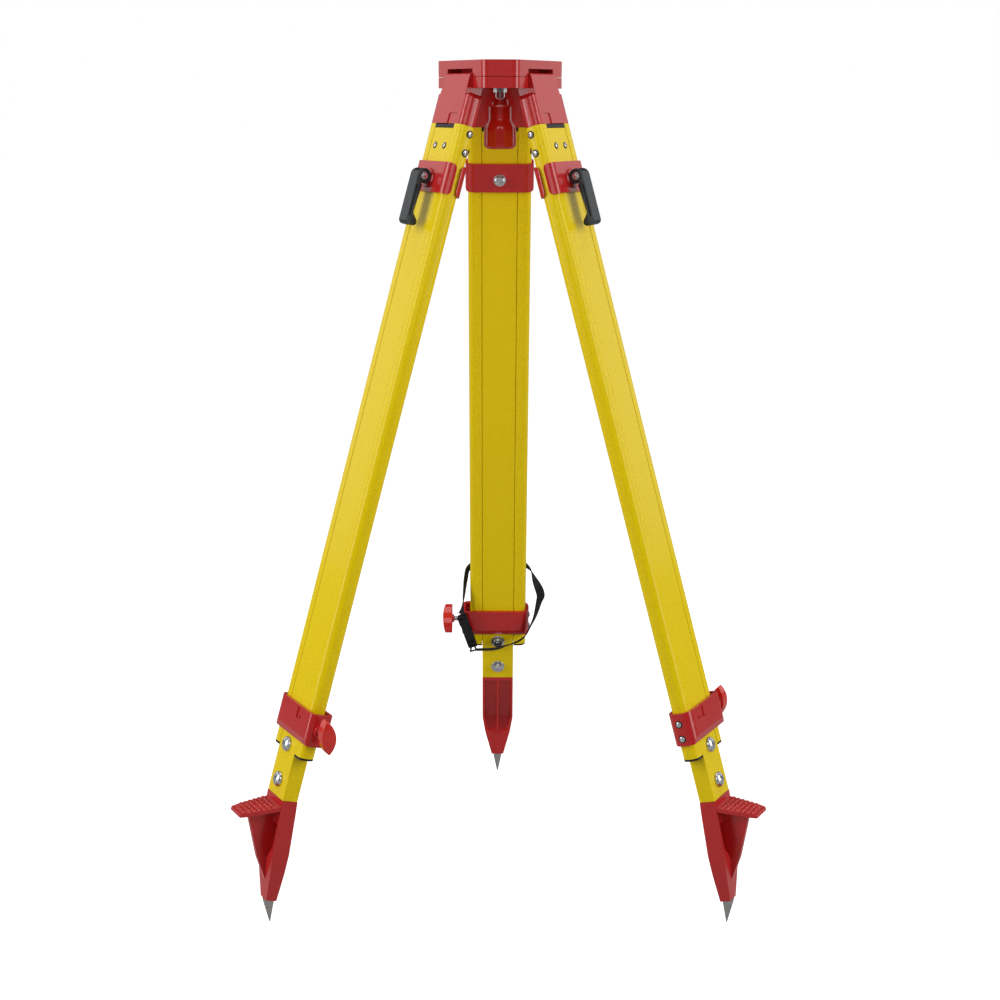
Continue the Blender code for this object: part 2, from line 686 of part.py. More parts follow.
def arm_pin():
    pin = rod(0.0030, -HEAD_THICKNESS + 0.0035, -PLATE_THICKNESS - GAP, "z", steps=16)
    place = Matrix.Rotation(ARM_AZIMUTH, 4, "Z") @ Matrix.Translation((ARM_PIVOT, 0, 0))
    return tidy_mesh(pin, place)


def arm_bush():
    """Flanged bush that slides in the arm's slot and carries the fixing screw."""
    flange_top = -ARM_TOP + 0.0018
    profile = [
        (0.0052, flange_top),
        (0.0090, flange_top),
        (0.0090, -ARM_TOP + GAP),
        (0.0062, -ARM_TOP + GAP),
        (0.0062, -ARM_TOP - ARM_THICKNESS - 0.0006),
        (0.0052, -ARM_TOP - ARM_THICKNESS - 0.0006),
        (0.0052, flange_top),
    ]
    return turned(profile, "z", steps=24)


def fixing_screw():
    """5/8 inch instrument screw with a hex collar; its lower end is held in the knob."""
    profile = [
        (0.0, -0.0025),
        (0.0062, -0.0025),
        (SCREW_THREAD, -0.0042),
        (SCREW_THREAD, -ARM_TOP + 0.0022),
        (0.0048, -ARM_TOP + 0.0022),
        (0.0048, -ARM_TOP - ARM_THICKNESS - 0.0010),
        (0.0065, -ARM_TOP - ARM_THICKNESS - 0.0010),
        (0.0065, -0.0455),
        (0.0045, -0.0455),
        (0.0045, -0.0960),
        (0.0, -0.0960),
    ]
    screw = turned(profile, "z", steps=24)
    hexagon = arc((0.0, 0.0), 0.0086, 30, 330, 5)
    return join(screw, prism([hexagon], -0.0388, -0.0338))


def screw_knob():
    """Bell-shaped hand knob."""
    top, bottom = -0.0459, -0.1097
    profile = [
        (0.0049, top),
        (0.0105, top),
        (0.0115, top - 0.0010),
        (0.0115, -0.0525),
        (0.0150, -0.0555),
        (0.0154, -0.0733),
        (0.0205, -0.0821),
        (0.0210, -0.0850),
        (0.0210, -0.1045),
        (0.0190, -0.1082),
        (0.0150, bottom),
        (0.0, bottom),
        (0.0, -0.0970),
        (0.0049, -0.0970),
        (0.0049, top),
    ]
    return turned(profile, "z", steps=32)


# ---- strap on the rear leg, in leg space --------------------------------------------------------
STRAP_WIDTH = 0.0130
STRAP_THICKNESS = 0.0016
BUCKLE_ENDS = (Vector((-0.0255, 0.0381, -0.8730)), Vector((-0.0245, 0.0556, -0.8165)))

# The loop from the buckle's lower end to its upper end: across the leg's inner face, up the right
# side, behind the outer face and down the left side. Each row is a point and the strap's outward
# direction there.
STRAP_ROUTE = [
    ((-0.0255, 0.0330, -0.8792), (-0.75, 0.00, -0.65)),
    ((-0.0252, 0.0066, -0.8782), (-0.75, 0.00, -0.65)),
    ((-0.0250, -0.0100, -0.8728), (-0.65, -0.25, -0.70)),
    ((-0.0240, -0.0290, -0.8655), (-0.40, -0.35, -0.85)),
    ((-0.0230, -0.0385, -0.8592), (-0.35, -0.60, -0.70)),
    ((-0.0220, -0.0435, -0.8530), (-0.35, -0.85, -0.40)),
    ((-0.0200, -0.0495, -0.8400), (-0.35, -0.90, -0.30)),
    ((-0.0150, -0.0568, -0.8245), (-0.50, -0.85, -0.20)),
    ((-0.0080, -0.0626, -0.8035), (-0.75, -0.65, 0.00)),
    ((-0.0030, -0.0652, -0.7905), (-1.00, -0.20, 0.00)),
    ((0.0030, -0.0565, -0.7700), (-0.50, -0.85, 0.20)),
    ((0.0110, -0.0470, -0.7525), (0.45, -0.90, 0.20)),
    ((0.0172, -0.0270, -0.7448), (1.00, -0.20, 0.00)),
    ((0.0168, 0.0000, -0.7430), (1.00, 0.00, 0.00)),
    ((0.0172, 0.0270, -0.7452), (1.00, 0.20, 0.00)),
    ((0.0110, 0.0450, -0.7530), (0.60, 0.80, 0.00)),
    ((0.0010, 0.0490, -0.7635), (0.50, 0.85, 0.00)),
    ((-0.0060, 0.0507, -0.7745), (0.35, 0.93, 0.00)),
    ((-0.0140, 0.0525, -0.7905), (0.15, 1.00, 0.00)),
    ((-0.0205, 0.0542, -0.8060), (-0.30, 0.95, 0.00)),
    ((-0.0240, 0.0553, -0.8140), (-0.80, 0.50, 0.00)),
]


def smooth_line(points, per_span):
    """Catmull-Rom points along an open line."""
    ends = [2 * points[0] - points[1]] + points + [2 * points[-1] - points[-2]]
    result = []
    for a, b, c, d in zip(ends, ends[1:], ends[2:], ends[3:]):
        for step in range(per_span):
            t = step / per_span
            result.append(0.5 * (2 * b + (c - a) * t + (2 * a - 5 * b + 4 * c - d) * t ** 2
                                 + (3 * b - a - 3 * c + d) * t ** 3))
    return result + [points[-1]]


def strap():
    """Webbing ribbon lofted along the route, with its flat side turned to the outward directions."""
    centres = smooth_line([Vector(point) for point, _ in STRAP_ROUTE], 2)
    outwards = smooth_line([Vector(outward) for _, outward in STRAP_ROUTE], 2)
    work = bmesh.new()
    sections = []
    for index, (centre, outward) in enumerate(zip(centres, outwards)):
        along = centres[min(index + 1, len(centres) - 1)] - centres[max(index - 1, 0)]
        across = along.cross(outward).normalized() * STRAP_WIDTH / 2
        through = across.cross(along).normalized() * STRAP_THICKNESS / 2
        corners = [centre + across + through, centre - across + through,
                   centre - across - through, centre + across - through]
        sections.append([work.verts.new(corner) for corner in corners])
    for first, second in zip(sections, sections[1:]):
        for k in range(4):
            work.faces.new((first[k], first[k - 1], second[k - 1], second[k]))
    work.faces.new(sections[0])
    work.faces.new(sections[-1][::-1])
    mesh = bpy.data.meshes.new("strap")
    work.to_mesh(mesh)
    work.free()
    return tidy_mesh(mesh, Matrix.Identity(4))


def strap_buckle():
    low, high = BUCKLE_ENDS
    length = (high - low).length
    buckle = prism([rounded(0.0040, 0.0075, 0.0020, steps=2)], -length / 2, length / 2)
    turn = Vector((0, 0, 1)).rotation_difference(high - low).to_matrix().to_4x4()
    return tidy_mesh(buckle, Matrix.Translation((low + high) / 2) @ turn)


# ---- assembly -----------------------------------------------------------------------------------
def hinge_height():
    return LEG_LENGTH * math.cos(LEG_TILT) + TIP_INSET * math.sin(LEG_TILT)


def new_empty(name, parent, location=(0.0, 0.0, 0.0), rotation=(0.0, 0.0, 0.0)):
    empty = bpy.data.objects.new(name, None)
    empty.empty_display_size = 0.05
    PARTS.objects.link(empty)
    empty.parent = parent
    empty.location = location
    empty.rotation_euler = rotation
    return empty


def place(name, mesh, material, parent, origin=(0.0, 0.0, 0.0)):
    """An object on its parent, with its own origin at a point of the parent's space."""
    mesh.transform(Matrix.Translation(-Vector(origin)))
    item = bpy.data.objects.new(name, mesh)
    PARTS.objects.link(item)
    item.parent = parent
    item.location = origin
    mesh.materials.clear()
    mesh.materials.append(material)
    mesh.shade_smooth()
    mesh.set_sharp_from_angle(angle=math.radians(35.0))
    return item


def build_head(root):
    top = new_empty("head_top", root, (0.0, 0.0, hinge_height() + HINGE_BELOW_TOP))
    place("head_plate", head_plate(), RED, top)
    place("head_ring", head_ring(), RED, top)
    place("swing_arm", swing_arm(), STEEL, top)
    place("arm_pin", arm_pin(), STEEL, top)
    place("arm_bush", arm_bush(), BLACK, top)
    place("fixing_screw", fixing_screw(), STEEL, top)
    place("screw_knob", screw_knob(), RED, top)


def leg_meshes():
    """Every leg piece as (name, mesh, material, the axis group that it hangs on)."""
    return [
        ("hinge_pin", hinge_pin(), STEEL, "hinge"),
        ("hinge_casting", hinge_casting(), RED, "hinge"),
        ("tube_left", side_tube(1), YELLOW, "hinge"),
        ("tube_right", side_tube(-1), YELLOW, "hinge"),
        ("lower_clamp", lower_clamp(), RED, "hinge"),
        ("wing_screw", wing_screw(), RED, "wing"),
        ("inner_leg", inner_leg(), YELLOW, "slide"),
        ("top_plug", top_plug(), BLACK, "slide"),
        ("clamp_plate_outer", clamp_plate(1), RED, "slide"),
        ("clamp_plate_inner", clamp_plate(-1), RED, "slide"),
        ("clamp_bolt", clamp_bolt(), STEEL, "slide"),
        ("lever_pin", lever_pin(), STEEL, "slide"),
        ("cam_lever", cam_lever(), BLACK, "lever"),
        ("foot_casting", foot_casting(), RED, "slide"),
        ("steel_point", steel_point(), POINT_STEEL, "slide"),
        ("foot_bolt_upper", foot_bolt(FOOT_BOLTS[0]), STEEL, "slide"),
        ("foot_bolt_lower", foot_bolt(FOOT_BOLTS[1]), STEEL, "slide"),
    ]


def build_legs(root):
    meshes = leg_meshes()
    for leg, azimuth in LEGS:
        turn = math.radians(azimuth)
        hinge_place = (HINGE_RADIUS * math.cos(turn), HINGE_RADIUS * math.sin(turn), hinge_height())
        hinge = new_empty(leg + "_hinge_axis", root, hinge_place, (0.0, -LEG_TILT, turn))
        slide = new_empty(leg + "_slide_axis", hinge)
        groups = {
            "hinge": (hinge, (0.0, 0.0, 0.0)),
            "slide": (slide, (0.0, 0.0, 0.0)),
            "wing": (hinge, (0.0, 0.0, -WING)),
            "lever": (slide, (LEVER_PIVOT[0], 0.0, LEVER_PIVOT[1])),
        }
        for name, mesh, material, group in meshes:
            parent, origin = groups[group]
            item = place(leg + "_" + name, mesh.copy(), material, parent, origin)
            if group == "wing":
                item.rotation_euler.y = math.radians(WING_LEAN[leg])
        if leg == "rear":
            place("strap", strap(), WEBBING, hinge)
            place("strap_buckle", strap_buckle(), BLACK, hinge)


def centre_on_footprint(root):
    """Move the tripod so that the centre of its box, at floor level, is the origin."""
    bpy.context.view_layer.update()
    corners = []
    for item in PARTS.objects:
        if item.type == "MESH":
            corners += [item.matrix_world @ vertex.co for vertex in item.data.vertices]
    low = [min(corner[axis] for corner in corners) for axis in range(3)]
    high = [max(corner[axis] for corner in corners) for axis in range(3)]
    root.location = (-(low[0] + high[0]) / 2, -(low[1] + high[1]) / 2, -low[2])
    bpy.context.view_layer.update()


def main():
    root = new_empty("tripod", None)
    build_head(root)
    build_legs(root)
    centre_on_footprint(root)


main()
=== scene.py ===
"""Looks of the surveyor's tripod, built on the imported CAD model.

Leg pieces are modelled in leg space: +X out of a leg's outer face, +Y along its hinge axis, +Z up
the leg, with the origin on the hinge axis, so a station down the leg is -Z. Head pieces are
modelled about the tripod's axis, with the origin at the head's top. Everything is in metres.
"""

import json
import math

import bmesh
import bpy
from mathutils import Matrix, Vector


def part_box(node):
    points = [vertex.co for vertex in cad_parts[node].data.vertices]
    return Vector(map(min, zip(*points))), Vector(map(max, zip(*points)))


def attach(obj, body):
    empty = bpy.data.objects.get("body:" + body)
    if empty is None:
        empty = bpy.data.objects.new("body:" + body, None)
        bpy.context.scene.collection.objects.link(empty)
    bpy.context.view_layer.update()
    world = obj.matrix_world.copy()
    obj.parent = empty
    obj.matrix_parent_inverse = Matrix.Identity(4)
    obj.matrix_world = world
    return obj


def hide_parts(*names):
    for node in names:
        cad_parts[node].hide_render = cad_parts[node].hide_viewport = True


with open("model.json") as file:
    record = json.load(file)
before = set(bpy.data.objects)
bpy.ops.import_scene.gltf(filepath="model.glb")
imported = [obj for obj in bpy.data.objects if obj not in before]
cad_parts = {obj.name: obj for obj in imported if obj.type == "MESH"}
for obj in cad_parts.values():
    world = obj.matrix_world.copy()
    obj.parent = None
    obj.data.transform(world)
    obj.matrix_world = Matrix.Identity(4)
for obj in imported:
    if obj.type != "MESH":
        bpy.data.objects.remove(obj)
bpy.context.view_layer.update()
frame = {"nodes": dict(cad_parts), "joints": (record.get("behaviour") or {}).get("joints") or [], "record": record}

# ---- places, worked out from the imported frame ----
LEGS = ("rear", "left", "right")
JOINTS = {joint["name"]: joint for joint in frame["joints"]}


def space_of(x_axis, y_axis, z_axis, origin):
    """The matrix from a space with these axes and this origin to the one they are given in."""
    matrix = Matrix((x_axis, y_axis, z_axis)).transposed().to_4x4()
    matrix.translation = origin
    return matrix


def head_space():
    """The matrix from head space to the row frame."""
    plate_low, plate_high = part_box("head_plate")
    knob_low, knob_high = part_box("screw_knob")
    return Matrix.Translation(((plate_low.x + plate_high.x) / 2, (knob_low.y + knob_high.y) / 2,
                               plate_high.z))


def leg_space(leg):
    """The matrix from leg space to the row frame."""
    spread = JOINTS[leg + "_leg_spread"]
    across = -Vector(spread["axis"]).normalized()
    up = -Vector(JOINTS[leg + "_leg_extend"]["axis"]).normalized()
    return space_of(across.cross(up), across, up, Vector(spread["pos_m"]))


HEAD = head_space()
LEG_SPACE = {leg: leg_space(leg) for leg in LEGS}


def local_box(node, space):
    """Lowest and highest corners of a CAD node in a space of its own."""
    inverse = space.inverted()
    points = [inverse @ vertex.co for vertex in frame["nodes"][node].data.vertices]
    low = Vector([min(point[axis] for point in points) for axis in range(3)])
    high = Vector([max(point[axis] for point in points) for axis in range(3)])
    return low, high


def rear_box(node):
    """The rear leg's copy of a node, boxed in leg space. The places read here suit every leg."""
    return local_box("rear_" + node, LEG_SPACE["rear"])


# ---- sizes, read from the frame or repeating the CAD where a box doesn't show them ----
CASTING = rear_box("hinge_casting")
TUBE = rear_box("tube_left")
BOARD = rear_box("inner_leg")
PLATE = rear_box("clamp_plate_outer")
BAND = rear_box("lower_clamp")
BOLTS = rear_box("clamp_bolt")
FOOT = rear_box("foot_casting")
LEVER = rear_box("cam_lever")
LEVER_AXLE = rear_box("lever_pin")
UPPER_BOLT = rear_box("foot_bolt_upper")
LOWER_BOLT = rear_box("foot_bolt_lower")
WING = rear_box("wing_screw")
HEAD_PLATE = local_box("head_plate", HEAD)
HEAD_RING = local_box("head_ring", HEAD)

LEG_HALF = Vector((TUBE[1].x, TUBE[1].y))  # half thickness and half width of a leg
TUBE_INNER = 0.02435  # flat inner wall of a side tube
TUBE_ROUND = 0.0090
TUBE_WALL = 0.0025
ROUND_STEPS = 14  # segments in each rounded edge of a leg's section
CLEARANCE = 0.0004  # between the tubes and the clamps round them
BOARD_HALF = Vector((BOARD[1].x, BOARD[1].y))
BARREL_HALF = 0.0320
CASTING_END = -0.0545
BAND_WALL = 0.0045
CLAMP_Z = (PLATE[0].z, PLATE[1].z)
CLAMP_BOLT_Z = (LEVER_AXLE[0].z + LEVER_AXLE[1].z) / 2
LEVER_PIVOT = ((LEVER_AXLE[0].x + LEVER_AXLE[1].x) / 2, CLAMP_BOLT_Z)
LEVER_HALF = 0.0100
LEVER_RADIUS = 0.0095  # of the cam head about the pin
WING_Z = (WING[0].z + WING[1].z) / 2
FOOT_BOLT_Z = ((UPPER_BOLT[0].z + UPPER_BOLT[1].z) / 2, (LOWER_BOLT[0].z + LOWER_BOLT[1].z) / 2)
FOOT_TOP = BOARD[0].z
LONG_FACET = HEAD_PLATE[1].y  # head centre to the facets over the legs
SHORT_FACET = -HEAD_PLATE[0].y
FAR = 0.08  # further from a leg's middle than any solid that is cut, so cutters reach past it


# ---- materials ----
RIBS_PER_METRE = 900.0
BANDS_PER_SCALE = 20.0  # bands per unit of a wave texture at scale 1
COAT_ROUGHNESS = 0.06
EVEN = (1.0, 1.0, 1.0)  # a noise stretched alike along every axis
PLACE = "place"  # attribute that keeps each point's place in its piece's own space


def new_node(tree, kind, **values):
    """A node whose inputs are set by name, with _ for each space in the name."""
    node = tree.nodes.new(kind)
    for name, value in values.items():
        node.inputs[name.replace("_", " ")].default_value = value
    return node


def new_material(name, colour, roughness, metallic=0.0, coat=0.0, specular=0.5):
    material = bpy.data.materials.new(name)
    material.use_nodes = True
    values = {"Base Color": (*colour, 1.0), "Roughness": roughness, "Metallic": metallic,
              "Coat Weight": coat, "Coat Roughness": COAT_ROUGHNESS, "Specular IOR Level": specular}
    for socket, value in values.items():
        material.node_tree.nodes["Principled BSDF"].inputs[socket].default_value = value
    return material


def stretched_noise(tree, stretch, scale, detail):
    """Noise stretched per axis: along the piece's own axes where the stretch isn't even."""
    if len(set(stretch)) > 1:
        coordinates = tree.nodes.new("ShaderNodeAttribute")
        coordinates.attribute_name = PLACE
        place = coordinates.outputs["Vector"]
    else:
        place = tree.nodes.new("ShaderNodeTexCoord").outputs["Object"]
    mapping = new_node(tree, "ShaderNodeMapping", Scale=stretch)
    pattern = new_node(tree, "ShaderNodeTexNoise", Scale=scale, Detail=detail)
    tree.links.new(place, mapping.inputs["Vector"])
    tree.links.new(mapping.outputs["Vector"], pattern.inputs["Vector"])
    return pattern


def colour_ramp(tree, pattern, stops):
    ramp = tree.nodes.new("ShaderNodeValToRGB")
    while len(ramp.color_ramp.elements) < len(stops):
        ramp.color_ramp.elements.new(0.5)
    for element, (position, colour) in zip(ramp.color_ramp.elements, stops):
        element.position = position
        element.color = (*colour, 1.0)
    tree.links.new(pattern.outputs["Fac"], ramp.inputs["Fac"])
    return ramp.outputs["Color"]


def bump_node(tree, pattern, strength, distance):
    bump = new_node(tree, "ShaderNodeBump", Strength=strength, Distance=distance)
    tree.links.new(pattern.outputs["Fac"], bump.inputs["Height"])
    return bump


def remapped(tree, source, low, high):
    """The source's 0 to 1 turned into low to high."""
    spread = new_node(tree, "ShaderNodeMapRange", To_Min=low, To_Max=high)
    tree.links.new(source, spread.inputs["Value"])
    return spread.outputs["Result"]


def patterned(name, stops, roughness, stretch, scale, bump, detail=3.0, **finish):
    """A material whose colour, roughness and bump all follow one stretched noise."""
    material = new_material(name, stops[0][1], roughness[0], **finish)
    tree = material.node_tree
    inputs = tree.nodes["Principled BSDF"].inputs
    pattern = stretched_noise(tree, stretch, scale, detail)
    tree.links.new(colour_ramp(tree, pattern, stops), inputs["Base Color"])
    tree.links.new(remapped(tree, pattern.outputs["Fac"], *roughness), inputs["Roughness"])
    tree.links.new(bump_node(tree, pattern, *bump).outputs["Normal"], inputs["Normal"])
    return material


def webbing_material():
    """Black nylon webbing: ribs across the strap from its UV map, over a fine thread noise."""
    material = patterned("webbing", [(0.35, (0.002, 0.002, 0.003)), (0.65, (0.007, 0.007, 0.008))],
                         (0.55, 0.75), EVEN, 1800.0, (0.3, 0.0003), specular=0.30)
    tree = material.node_tree
    uv = tree.nodes.new("ShaderNodeUVMap")
    uv.uv_map = "weave"
    ribs = new_node(tree, "ShaderNodeTexWave", Scale=RIBS_PER_METRE / BANDS_PER_SCALE)
    ribs.wave_type = "BANDS"
    ribs.bands_direction = "X"
    tree.links.new(uv.outputs["UV"], ribs.inputs["Vector"])
    bump = bump_node(tree, ribs, 0.6, 0.0004)
    normal = tree.nodes["Principled BSDF"].inputs["Normal"]
    tree.links.new(normal.links[0].from_node.outputs["Normal"], bump.inputs["Normal"])
    tree.links.new(bump.outputs["Normal"], normal)
    return material


# Each row: name, colour stops, roughness range, stretch, noise scale, bump strength and distance.
MATERIALS = {
    "fibreglass": patterned("yellow_fibreglass",
                            [(0.26, (0.72, 0.50, 0.0)), (0.50, (0.84, 0.62, 0.0)),
                             (0.74, (0.88, 0.68, 0.002))],
                            (0.22, 0.36), (1.0, 1.0, 0.30), 1100.0, (0.10, 0.0002), detail=6.0,
                            coat=0.08, specular=0.20),
    "red_paint": patterned("red_paint", [(0.35, (0.46, 0.009, 0.010)), (0.65, (0.54, 0.012, 0.012))],
                           (0.24, 0.34), EVEN, 650.0, (0.06, 0.0002), coat=0.35, specular=0.45),
    "knob_red": patterned("red_plastic", [(0.35, (0.60, 0.014, 0.008)), (0.65, (0.68, 0.020, 0.010))],
                          (0.14, 0.24), EVEN, 500.0, (0.04, 0.0002), coat=0.3),
    "lever_plastic": patterned("lever_plastic",
                               [(0.35, (0.010, 0.014, 0.019)), (0.65, (0.020, 0.026, 0.033))],
                               (0.30, 0.42), EVEN, 2600.0, (0.20, 0.0002)),
    "black_plastic": patterned("black_plastic",
                               [(0.35, (0.003, 0.003, 0.004)), (0.65, (0.008, 0.008, 0.009))],
                               (0.30, 0.46), EVEN, 2200.0, (0.20, 0.0002), specular=0.35),
    "bright_steel": patterned("bright_plating", [(0.30, (0.50, 0.52, 0.55)), (0.70, (0.72, 0.73, 0.75))],
                              (0.20, 0.34), EVEN, 350.0, (0.05, 0.0001), metallic=1.0),
    "arm_steel": patterned("pressed_steel", [(0.30, (0.30, 0.30, 0.31)), (0.70, (0.46, 0.46, 0.47))],
                           (0.28, 0.42), EVEN, 500.0, (0.10, 0.0002), metallic=1.0),
    "point_steel": patterned("turned_steel", [(0.30, (0.40, 0.40, 0.38)), (0.70, (0.58, 0.57, 0.55))],
                             (0.26, 0.40), (0.2, 0.2, 6.0), 500.0, (0.25, 0.0002), metallic=1.0),
    "webbing": webbing_material(),
}


def dress_nodes():
    """Gives every CAD node that stays visible the material of its slot."""
    slots = {row["node"]: row["material_slot"] for row in frame["record"]["subparts"]}
    for name, node in frame["nodes"].items():
        for slot in node.material_slots:
            slot.material = MATERIALS[slots[name]]


# ---- mesh tools ----
WELD, LOFT_WELD = 1e-6, 1e-7
FLAT = math.radians(0.5)  # neighbouring faces that turn by less than this become one
# Directions of an outline's own x, y and depth axes for each plane it can be drawn in.
PLANES = {
    "xy": (Vector((1, 0, 0)), Vector((0, 1, 0)), Vector((0, 0, 1))),
    "yz": (Vector((0, 1, 0)), Vector((0, 0, 1)), Vector((1, 0, 0))),
    "xz": (Vector((1, 0, 0)), Vector((0, 0, 1)), Vector((0, -1, 0))),
}


def tidy_mesh(mesh, matrix=Matrix.Identity(4)):
    """Weld, merge flat faces into one, move by the matrix and turn the faces outwards."""
    work = bmesh.new()
    work.from_mesh(mesh)
    bmesh.ops.remove_doubles(work, verts=work.verts, dist=WELD)
    bmesh.ops.dissolve_limit(work, angle_limit=FLAT, verts=work.verts, edges=work.edges)
    bmesh.ops.transform(work, matrix=matrix, verts=work.verts)
    bmesh.ops.recalc_face_normals(work, faces=work.faces)
    work.to_mesh(mesh)
    work.free()
    return mesh


def moved(mesh, matrix):
    mesh.transform(matrix)
    return mesh


def new_holder(mesh_or_curve):
    holder = bpy.data.objects.new("holder", mesh_or_curve)
    bpy.context.scene.collection.objects.link(holder)
    return holder


def evaluated_mesh(holder):
    graph = bpy.context.evaluated_depsgraph_get()
    return bpy.data.meshes.new_from_object(holder.evaluated_get(graph))


def prism(outlines, low, high, plane="xy"):
    """Closed outlines (the first is the outside, the rest are holes) given depth from low to high.

    On the plane xz the depth runs along Y, on yz along X and on xy along Z.
    """
    curve = bpy.data.curves.new("outline", "CURVE")
    curve.dimensions = "2D"
    curve.fill_mode = "BOTH"
    curve.extrude = (high - low) / 2
    for outline in outlines:
        spline = curve.splines.new("POLY")
        spline.points.add(len(outline) - 1)
        for point, (x, y) in zip(spline.points, outline):
            point.co = (x, y, 0.0, 1.0)
        spline.use_cyclic_u = True
    middle = [abs(axis) * (low + high) / 2 for axis in PLANES[plane][2]]
    holder = new_holder(curve)
    mesh = evaluated_mesh(holder)
    bpy.data.objects.remove(holder, do_unlink=True)
    bpy.data.curves.remove(curve)
    return tidy_mesh(mesh, space_of(*PLANES[plane], middle))


def turned(profile, axis="z", origin=(0.0, 0.0, 0.0), steps=48):
    """A solid of revolution about the axis through the origin, from (radius, height) points."""
    rings = []
    for radius, height in profile:
        angles = [2 * math.pi * k / steps for k in range(steps)]
        rings.append([(radius * math.cos(angle), radius * math.sin(angle), height) for angle in angles])
    turn = {
        "x": Matrix.Rotation(math.pi / 2, 4, "Y"),
        "y": Matrix.Rotation(-math.pi / 2, 4, "X"),
        "z": Matrix.Identity(4),
    }[axis]
    return lofted(rings, Matrix.Translation(origin) @ turn)


def lofted(rings, matrix=Matrix.Identity(4), uv_step=None):
    """A closed solid through rings of equally many points, capped at both ends.

    With a uv_step, the UV map "weave" grows by that much from one ring to the next.
    """
    work = bmesh.new()
    loops = [[work.verts.new(point) for point in ring] for ring in rings]
    weave = work.loops.layers.uv.new("weave") if uv_step else None
    for row, (first, second) in enumerate(zip(loops, loops[1:])):
        for k in range(len(first)):
            face = work.faces.new((first[k], first[k - 1], second[k - 1], second[k]))
            if weave:
                for loop, offset in zip(face.loops, (0, 0, 1, 1)):
                    loop[weave].uv = ((row + offset) * uv_step, 0.0)
    work.faces.new(loops[0])
    work.faces.new(loops[-1][::-1])
    bmesh.ops.remove_doubles(work, verts=work.verts, dist=LOFT_WELD)
    bmesh.ops.transform(work, matrix=matrix, verts=work.verts)
    bmesh.ops.recalc_face_normals(work, faces=work.faces)
    mesh = bpy.data.meshes.new("loft")
    work.to_mesh(mesh)
    work.free()
    return mesh


def rod(radius, low, high, axis, origin=(0.0, 0.0, 0.0), steps=32):
    return turned([(0.0, high), (radius, high), (radius, low), (0.0, low)], axis, origin, steps)


def combine(mesh, tool, operation):
    """Boolean of two meshes: DIFFERENCE, UNION or INTERSECT. Both inputs are used up."""
    target, cutter = new_holder(mesh), new_holder(tool)
    modifier = target.modifiers.new("boolean", "BOOLEAN")
    modifier.operation = operation
    modifier.object = cutter
    result = evaluated_mesh(target)
    for item in (target, cutter):
        bpy.data.objects.remove(item, do_unlink=True)
    return tidy_mesh(result)


def cut(mesh, *tools):
    for tool in tools:
        mesh = combine(mesh, tool, "DIFFERENCE")
    return mesh


def join(mesh, *tools):
    for tool in tools:
        mesh = combine(mesh, tool, "UNION")
    return mesh


def grouped(meshes):
    """Several separate solids as one mesh."""
    work = bmesh.new()
    for mesh in meshes:
        work.from_mesh(mesh)
    group = bpy.data.meshes.new("group")
    work.to_mesh(group)
    work.free()
    return group


def arc(centre, radius, start, end, steps):
    """Points along an arc, angles in degrees."""
    points = []
    for k in range(steps + 1):
        angle = math.radians(start + (end - start) * k / steps)
        points.append((centre[0] + radius * math.cos(angle), centre[1] + radius * math.sin(angle)))
    return points


def circle(radius, steps):
    return arc((0.0, 0.0), radius, 0, 360, steps)[:-1]


def rectangle(low_x, high_x, low_y, high_y):
    return [(low_x, low_y), (high_x, low_y), (high_x, high_y), (low_x, high_y)]


def rounded(half_x, half_y, radius, centre=(0.0, 0.0), steps=8):
    """A rectangle with round corners."""
    x, y = half_x - radius, half_y - radius
    points = []
    for sign_x, sign_y, start in ((1, 1, 0), (-1, 1, 90), (-1, -1, 180), (1, -1, 270)):
        corner = (centre[0] + sign_x * x, centre[1] + sign_y * y)
        points += arc(corner, radius, start, start + 90, steps)
    return points


def aimed(mesh, place, direction):
    """The mesh with its +Z turned to the direction and its origin moved to the place."""
    turn = Vector((0, 0, 1)).rotation_difference(Vector(direction)).to_matrix().to_4x4()
    return moved(mesh, Matrix.Translation(place) @ turn)


def through(outline, plane):
    """An outline carried right through a leg, as a cutter or to keep what is inside it."""
    return prism([outline], -FAR, FAR, plane)


def outwards(outline, plane, side, floor):
    """A cutter from a depth on one side (+1 or -1) out past the surface."""
    low, high = sorted((side * floor, side * FAR))
    return prism([outline], low, high, plane)


# ---- placing pieces ----
BEVEL_FROM = math.radians(28.0)  # edges at least this sharp are bevelled
BEVEL_SHARP, PLAIN_SHARP = math.radians(14.0), math.radians(32.0)  # least angle of a hard edge


def add_piece(name, mesh, space, body, slot, nodes=(), bevel=0.0, segments=3):
    """One visible piece: its mesh in its own space, riding on a body in place of some CAD nodes."""
    places = mesh.attributes.new(PLACE, "FLOAT_VECTOR", "POINT")
    places.data.foreach_set("vector", [value for vertex in mesh.vertices for value in vertex.co])
    mesh.transform(space)
    piece = bpy.data.objects.new(name, mesh)
    bpy.context.scene.collection.objects.link(piece)
    mesh.materials.clear()
    mesh.materials.append(MATERIALS[slot])
    mesh.shade_smooth()
    sharp_angle = PLAIN_SHARP
    if bevel:
        sharp_angle = BEVEL_SHARP
        edges = piece.modifiers.new("edges", "BEVEL")
        edges.width = bevel
        edges.segments = segments
        edges.limit_method = "ANGLE"
        edges.angle_limit = BEVEL_FROM
    mesh.set_sharp_from_angle(angle=sharp_angle)
    normals = piece.modifiers.new("normals", "WEIGHTED_NORMAL")
    normals.keep_sharp = True
    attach(piece, body)
    if nodes:
        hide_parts(*nodes)
    return piece


# ---- fasteners ----
def hexagon(radius):
    """Outline of a hexagon with a corner on +X."""
    return arc((0.0, 0.0), radius, 0, 300, 5)


